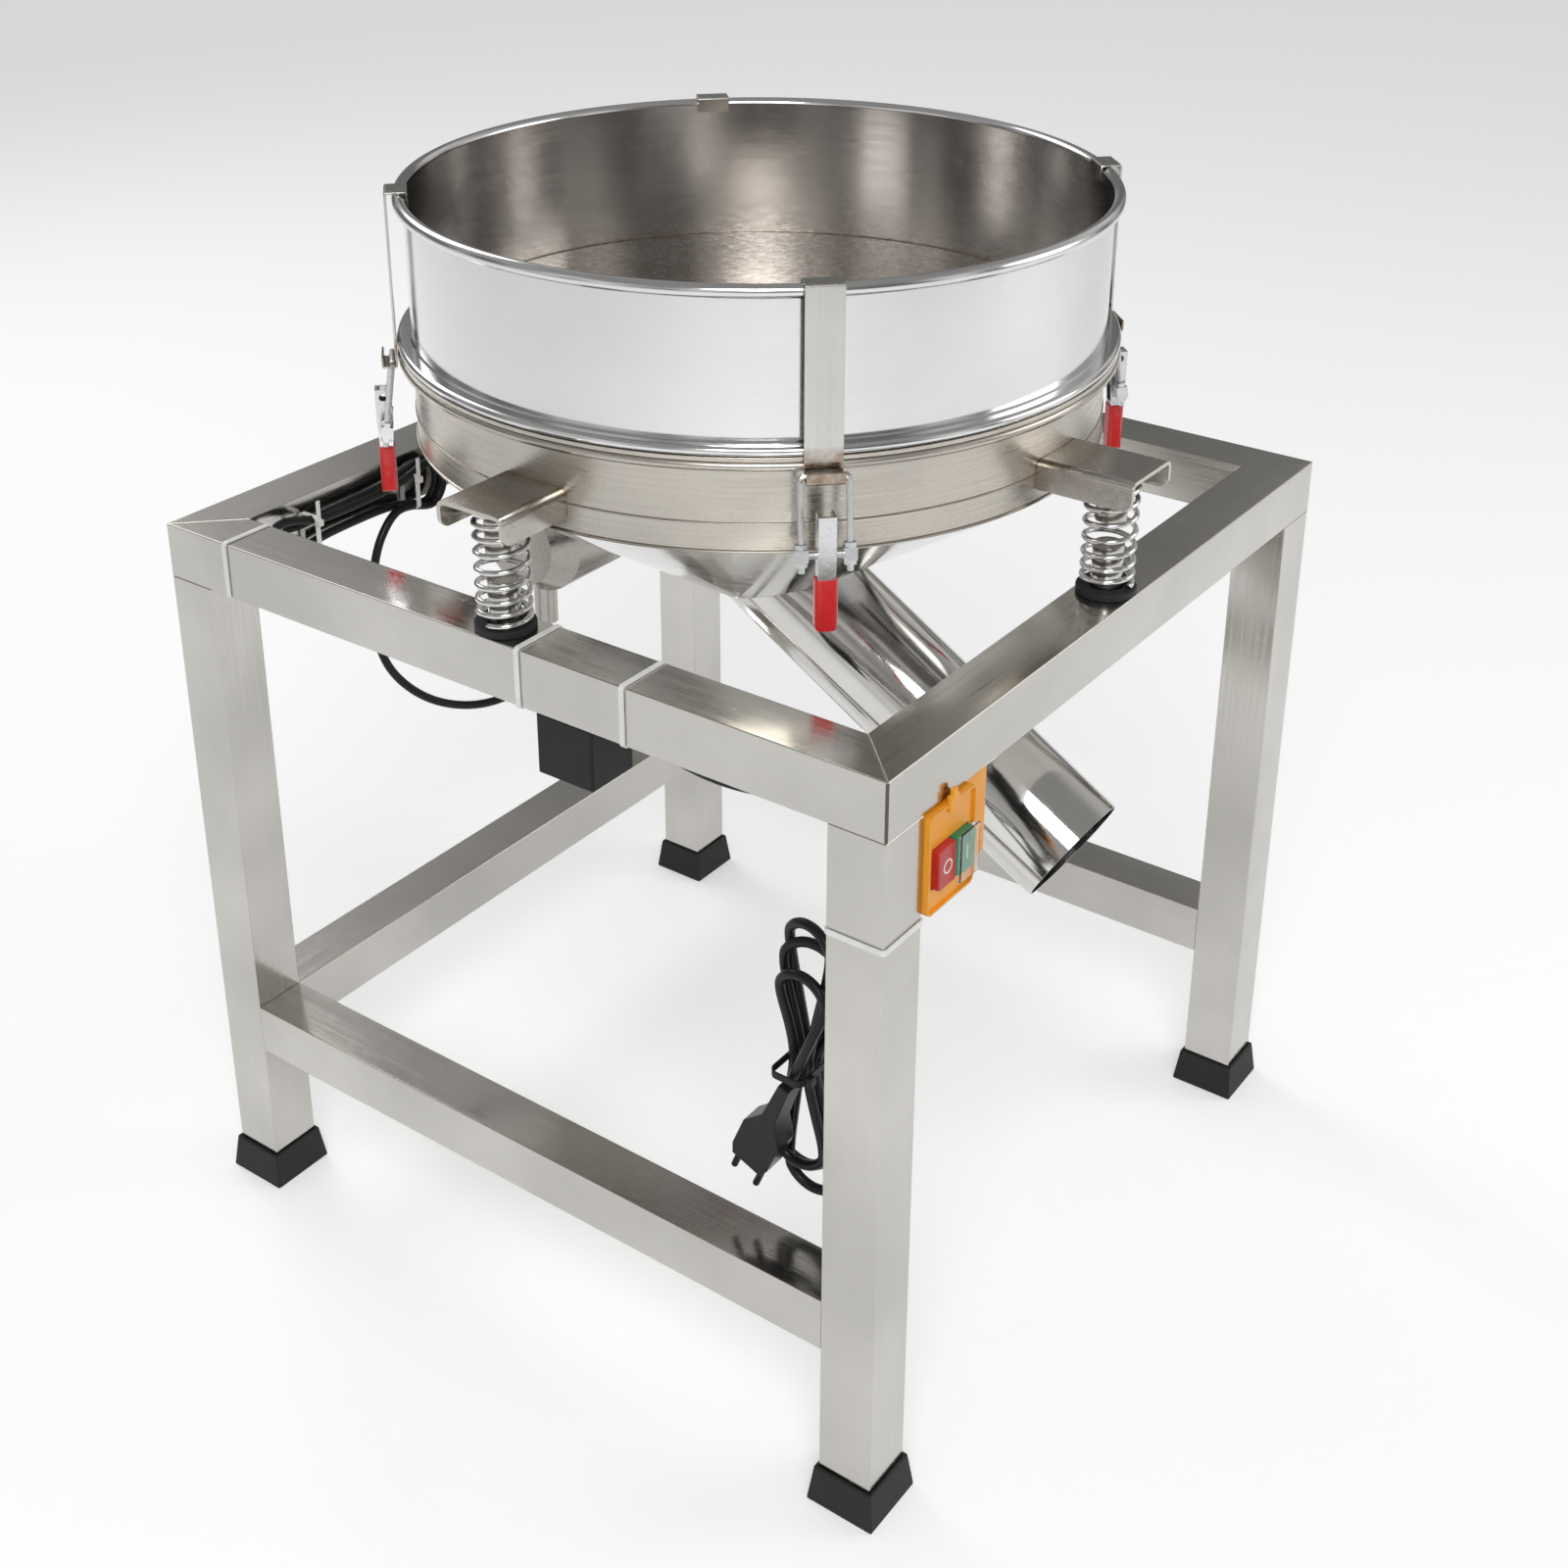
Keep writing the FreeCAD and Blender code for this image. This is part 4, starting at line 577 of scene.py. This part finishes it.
def motor_lead():
    """From the motor up to the back rail, folded twice along its inner face."""
    route = [(-30, 186, 430), (-30, 186, 384), (-56, 195, 358), (-95, 209.7, 357),
             (-133, 225.7, 377), (-157, 240.7, 414), (-155, 246, 462), (-149, 246, 500),
             (-130, 246, 524), (-112, 246, 526)]
    fold, middle, left, right = 19.0, 536, -227, -93
    for here, after in ((246, 246), (246, 253.5), (253.5, 253.5)):
        if here == after:
            turn = [(right + a, here, middle + b) for a, b in crown(fold, -90, 90)]
            route += turn + [(right - 26, here, middle + 9), (left + 50, here, middle + 8)]
        else:
            turn = crown(fold, 90, 270)
            route.append((left + 26, here, middle + 9))
            for step, (a, b) in enumerate(turn):
                share = (step + 0.5) / len(turn)
                route.append((left + a, here + (after - here) * share, middle + b))
            route += [(left + 26, after, middle - 9), (left + 70, after, middle - 8),
                      (right - 26, after, middle - 9)]
    route += [(-196, 254, 543), (-212, 256, 541), (-220, 262, 540)]
    cord = lead("motor_lead", route, 0.0065, CORD)
    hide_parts("motor_cable", "motor_hank")


# ---------------------------------------------------------------- frame
def stand():
    """Square tube with small outer radii, and the rubber feet."""
    for side in SIDES:
        axis = "y" if side in ("left", "right") else "x"
        copy_of(f"rail_top_{side}", 0.0012, FRAME_STEEL[axis], "frame", "frame_steel")
        if side != "front":
            copy_of(f"rail_low_{side}", 0.0016, FRAME_STEEL[axis], "frame", "frame_steel")
        copy_of(f"spring_pad_{side}", 0.0008, RUBBER, "frame", "black_rubber")
    for corner in CORNERS:
        copy_of(f"leg_{corner}", 0.0016, FRAME_STEEL["z"], "frame", "frame_steel")
        copy_of(f"foot_{corner}", 0.0014, RUBBER, "frame", "black_rubber")


def springs():
    """Bright wire with closed end turns and open turns between them."""
    turns, wire, coil, steps = 8.5, 0.0019, 0.0165, 40
    sag, settled = 0.035, 0.02
    low, high = SPRING_LOW + wire, SPRING_HIGH - wire
    for side, angle in SIDES.items():
        reach = (HALF_X if side in ("left", "right") else HALF_Y) - TUBE / 2
        middle = turned(angle, reach).translation
        route = []
        for i in range(int(turns * steps) + 1):
            turn = i / steps
            closed_end = min(turn, turns - turn, 1.0)
            share = turn / turns
            lift = share - sag * math.sin(2 * math.pi * share)
            settle = (1 - closed_end) * (settled if turn < turns / 2 else -settled)
            height = low + (high - low) * min(1.0, max(0.0, lift - settle * share * (1 - share)))
            bearing = 2 * math.pi * turn + math.radians(angle)
            route.append(Vector((middle.x + coil * math.cos(bearing),
                                 middle.y + coil * math.sin(bearing), height)))
        mesh = swept(f"coil_{side}", route, ring_section(wire, 10))
        coil_piece = bpy.data.objects.new(f"coil_{side}", mesh)
        bpy.context.scene.collection.objects.link(coil_piece)
        mesh.materials.append(WIRE)
        mesh.shade_smooth()
        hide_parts(f"spring_{side}")
        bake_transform(coil_piece)


# ---------------------------------------------------------------- sieve
def bead(low, high):
    """The section of a rolled flange: from the wall round the bead and back to the wall."""
    radius = (high - low) / 2
    middle = (low + high) / 2
    return arc((FLANGE_R - radius, middle), radius, -90, 90, 10)


def pan_and_hopper():
    """Spun walls with rolled beads: the pan and the hopper drum that sits on the screen ring."""
    inner = PAN_R - WALL
    flange = 0.0065
    low = PAN_TOP - flange
    pan = [(inner, PAN_LOW), (PAN_R, PAN_LOW), (PAN_R, low - 0.001), (PAN_R + 0.001, low)]
    pan += bead(low, PAN_TOP) + [(inner, PAN_TOP)]
    made("pan_wall", lathe("pan_wall", pan, closed=True), PAN_STEEL, "sieve", "brushed_steel",
         ("pan",), 40)
    rim = 0.0045
    middle = HOPPER_TOP - rim
    drum = [(inner, RING_TOP)] + bead(RING_TOP, RING_TOP + flange)
    drum += [(PAN_R + 0.001, RING_TOP + flange), (PAN_R, RING_TOP + flange + 0.001)]
    drum += arc((inner + rim, middle), rim, -123, 180, 24)
    made("hopper_drum", lathe("hopper_drum", drum, closed=True), DRUM_STEEL, "sieve",
         "polished_steel", ("hopper",), 40)


def copies():
    """Nodes whose CAD shape stays, with rounded edges."""
    for side in SIDES:
        copy_of(f"bracket_{side}", 0.0005, SHEET_STEEL, "sieve", "brushed_steel")
    copy_of("cone", 0.0004, MIRROR_STEEL, "sieve", "polished_steel")
    copy_of("chute", 0.0004, MIRROR_STEEL, "sieve", "polished_steel")
    copy_of("screen", 0.0004, SHEET_STEEL, "sieve", "mesh_steel")
    copy_of("motor_housing", 0.0012, MOTOR_SHELL, "sieve", "motor_casting")
    for corner in CORNERS:
        copy_of(f"strap_{corner}", 0.0004, STRAP_STEEL, "sieve", "brushed_steel")
        copy_of(f"latch_lever_{corner}", 0.0003, PLATED, f"lever_{corner}", "plated_steel")
        copy_of(f"latch_grip_{corner}", 0.0012, RED, f"lever_{corner}", "red_plastic")
        copy_of(f"latch_bolt_{corner}", 0.0002, PLATED, f"bolt_{corner}", "plated_steel")
    copy_of("junction_box", 0.0012, BLACK, "frame", "black_plastic")
    copy_of("switch_box", 0.0008, BLACK, "frame", "black_plastic")
    copy_of("button_stop", 0.0008, BUTTON_RED, "button_stop", "red_plastic")
    copy_of("button_start", 0.0008, GREEN, "button_start", "green_plastic")
    copy_of("rotor", 0.0005, PLATED, "rotor", "rotor_steel")


def ties():
    """White cable ties on the rails, the leg and the motor bundle."""
    slack, lock = 0.0003, 0.0024
    outer = HALF_X + slack
    inner = HALF_X - TUBE - slack
    for number, at in enumerate((-0.027, -0.111, 0.240)):
        cable_tie(f"rail_tie_{number}", 1, at, (-outer, 0, RAIL_LOW - slack),
                  (-inner, 0, RAIL_TOP + slack), (-inner + lock, at, 0.541), (0, 0, 0.013))
    cable_tie("leg_tie", 2, 0.448, (-outer, -HALF_Y - slack, 0),
              (-inner, -HALF_Y + TUBE + slack, 0),
              (-inner + lock, -HALF_Y + 0.012, 0.448), (0, 0.011, 0))
    for number, at in enumerate((-0.105, -0.205)):
        cable_tie(f"bundle_tie_{number}", 0, at, (0, 0.2420, 0.5228), (0, 0.2578, 0.5490),
                  (at, 0.2396, 0.546), (0, 0, 0.017))


def ring_mark(name, centre, radius, wide, body, material):
    """A raised ring that faces the front."""
    profile = [(radius - wide, 0), (radius, 0), (radius, 0.0003), (radius - wide, 0.0003)]
    mesh = lathe(name, profile, 64, closed=True)
    moved(mesh, Matrix.Translation(centre) @ Matrix.Rotation(math.radians(90), 4, "X"))
    made(name, mesh, material, body)


def switch_face():
    """The yellow plate, its rim and lock tab, the marks, and the clear cover."""
    box = bpy.data.objects["switch_box_dressed"].data
    box.materials.append(YELLOW)
    plate_back = -0.2968
    for face in box.polygons:
        if face.center.y < plate_back:
            face.material_index = 1
    rim = band("plate_rim", 1, -0.3028, (-0.2480, 0, 0.4517), (-0.1994, 0, 0.5163), 0.003,
               0.0018, 0.0015)
    tab = block("lock_tab", (-0.2290, -0.3050, 0.5120), (-0.2190, -0.3015, 0.5230), 0.0010)
    ear = block("lock_ear", (-0.2265, -0.3050, 0.5215), (-0.2215, -0.3020, 0.5270), 0.0008)
    made("plate_rim", joined("plate_rim", [rim, tab, ear]), YELLOW, "frame")
    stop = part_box("button_stop")
    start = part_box("button_start")
    middle = (stop[0] + stop[1]) / 2
    ring_mark("stop_mark", (middle.x, stop[0].y + 0.0001, middle.z), 0.0048, 0.0011,
              "button_stop", MARK)
    middle = (start[0] + start[1]) / 2
    mark = block("start_mark", (middle.x - 0.0006, start[0].y - 0.0002, middle.z - 0.0045),
                 (middle.x + 0.0006, start[0].y + 0.0002, middle.z + 0.0045), 0.0001, 1)
    made("start_mark", mark, MARK, "button_start")
    pane = block("cover", (start[0].x - 0.0010, start[0].y - 0.0034, start[0].z - 0.003),
                 (start[1].x + 0.0010, start[0].y - 0.0018, start[1].z + 0.003), 0.0006)
    made("start_cover", bevelled(pane, 0.0001), CLEAR, "frame")
    screws, across = [], start[1].x + 0.0030
    for height in (start[0].z + 0.003, start[1].z - 0.003):
        screws.append(rod("screw", (across, -0.3020, height), (across, -0.3042, height), 0.0022))
        screws.append(block("drive", (across - 0.0018, -0.3046, height - 0.0004),
                            (across + 0.0018, -0.3040, height + 0.0004), 0.0001, 1))
    made("cover_screws", joined("cover_screws", screws), PLATED, "frame")


def seams():
    """Weld beads at the front left corner of the rails and round the foot of the pan."""
    sunk, step, count = 0.0004, 0.001, 39
    route = [Vector((sunk - HALF_X, sunk - HALF_Y, RAIL_LOW + step + step * i))
             for i in range(count)]
    made("corner_bead", swept("corner_bead", route, ring_section(0.0011, 8)), WELD, "frame")
    rings = []
    for height, size in ((PAN_LOW + 0.0012, 0.0009), (PAN_LOW + 0.020, 0.0005)):
        profile = [(PAN_R + sunk + a, height + b) for a, b in ring_section(size, 8)]
        rings.append(lathe("pan_bead", profile, closed=True))
    made("pan_bead", joined("pan_bead", rings), PAN_STEEL, "sieve")


# ---------------------------------------------------------------- stage
def studio():
    """A pale floor, three soft lamps and a plain world that the steel can mirror."""
    floor = bpy.data.objects.new("floor", mesh_of(
        "floor", [(-6, -6, 0), (6, -6, 0), (6, 6, 0), (-6, 6, 0)], [(0, 1, 2, 3)]))
    bpy.context.scene.collection.objects.link(floor)
    material, tree, shader, place, output = blank("floor_paper")
    shader.inputs["Base Color"].default_value = colour(0.86, 0.86, 0.86)
    shader.inputs["Roughness"].default_value = 0.9
    glow = add(tree, "ShaderNodeEmission", {"Color": colour(1, 1, 1), "Strength": 0.30})
    seen = add(tree, "ShaderNodeLightPath")
    camera_or_mirror = maths(tree, "MAXIMUM", seen.outputs["Is Camera Ray"],
                             seen.outputs["Is Glossy Ray"])
    camera_or_mirror = maths(tree, "MAXIMUM", camera_or_mirror,
                             seen.outputs["Is Transmission Ray"])
    lit = add(tree, "ShaderNodeAddShader", {0: shader.outputs["BSDF"], 1: glow.outputs["Emission"]})
    both = add(tree, "ShaderNodeMixShader", {0: camera_or_mirror, 1: shader.outputs["BSDF"],
                                             2: lit.outputs["Shader"]})
    tree.links.new(both.outputs["Shader"], output.inputs["Surface"])
    floor.data.materials.append(material)
    world = bpy.data.worlds.new("world")
    bpy.context.scene.world = world
    world.use_nodes = True
    tree = world.node_tree
    tree.nodes.clear()
    seen = add(tree, "ShaderNodeLightPath")
    way = add(tree, "ShaderNodeTexCoord").outputs["Generated"]
    height = add(tree, "ShaderNodeSeparateXYZ", {"Vector": way}).outputs["Z"]
    walls = noise(tree, stretched(tree, way, (1.6, 1.6, 0.7)), 1.3, 1.0)
    room = ranged(tree, walls, 0.42, 0.62, 0.16, 0.80)
    ceiling = ranged(tree, height, 0.25, 0.8, 0.0, 1.0)
    room = mixed_value(tree, ceiling, room, 0.30)
    plain = add(tree, "ShaderNodeBackground", {"Color": colour(1, 1, 1), "Strength": 0.42})
    mirror = add(tree, "ShaderNodeBackground", {"Color": colour(1, 0.985, 0.96), "Strength": room})
    white = add(tree, "ShaderNodeBackground", {"Color": colour(1, 1, 1), "Strength": 1.0})
    first = add(tree, "ShaderNodeMixShader", {0: seen.outputs["Is Glossy Ray"],
                                              1: plain.outputs["Background"],
                                              2: mirror.outputs["Background"]})
    clear = maths(tree, "MAXIMUM", seen.outputs["Is Camera Ray"],
                  seen.outputs["Is Transmission Ray"])
    last = add(tree, "ShaderNodeMixShader", {0: clear, 1: first.outputs["Shader"],
                                             2: white.outputs["Background"]})
    add(tree, "ShaderNodeOutputWorld", {"Surface": last.outputs["Shader"]})
    for name, place, size, power in (("key", (-2.2, -1.6, 2.6), 1.6, 48.0),
                                     ("fill", (1.9, -2.4, 1.5), 1.8, 18.0),
                                     ("back", (0.6, 2.6, 2.4), 1.6, 22.0)):
        light = bpy.data.lights.new(name, "AREA")
        light.shape = "DISK"
        light.size = size
        light.energy = power
        lamp = bpy.data.objects.new(name, light)
        away = Vector(place) - Vector((0, 0, 0.5))
        lamp.matrix_world = (Matrix.Translation(place)
                             @ away.to_track_quat("Z", "Y").to_matrix().to_4x4())
        bpy.context.scene.collection.objects.link(lamp)
    bpy.context.scene.view_settings.view_transform = "Standard"


camera()
mains_lead()
switch_lead()
motor_lead()
stand()
springs()
pan_and_hopper()
copies()
ties()
switch_face()
seams()
studio()
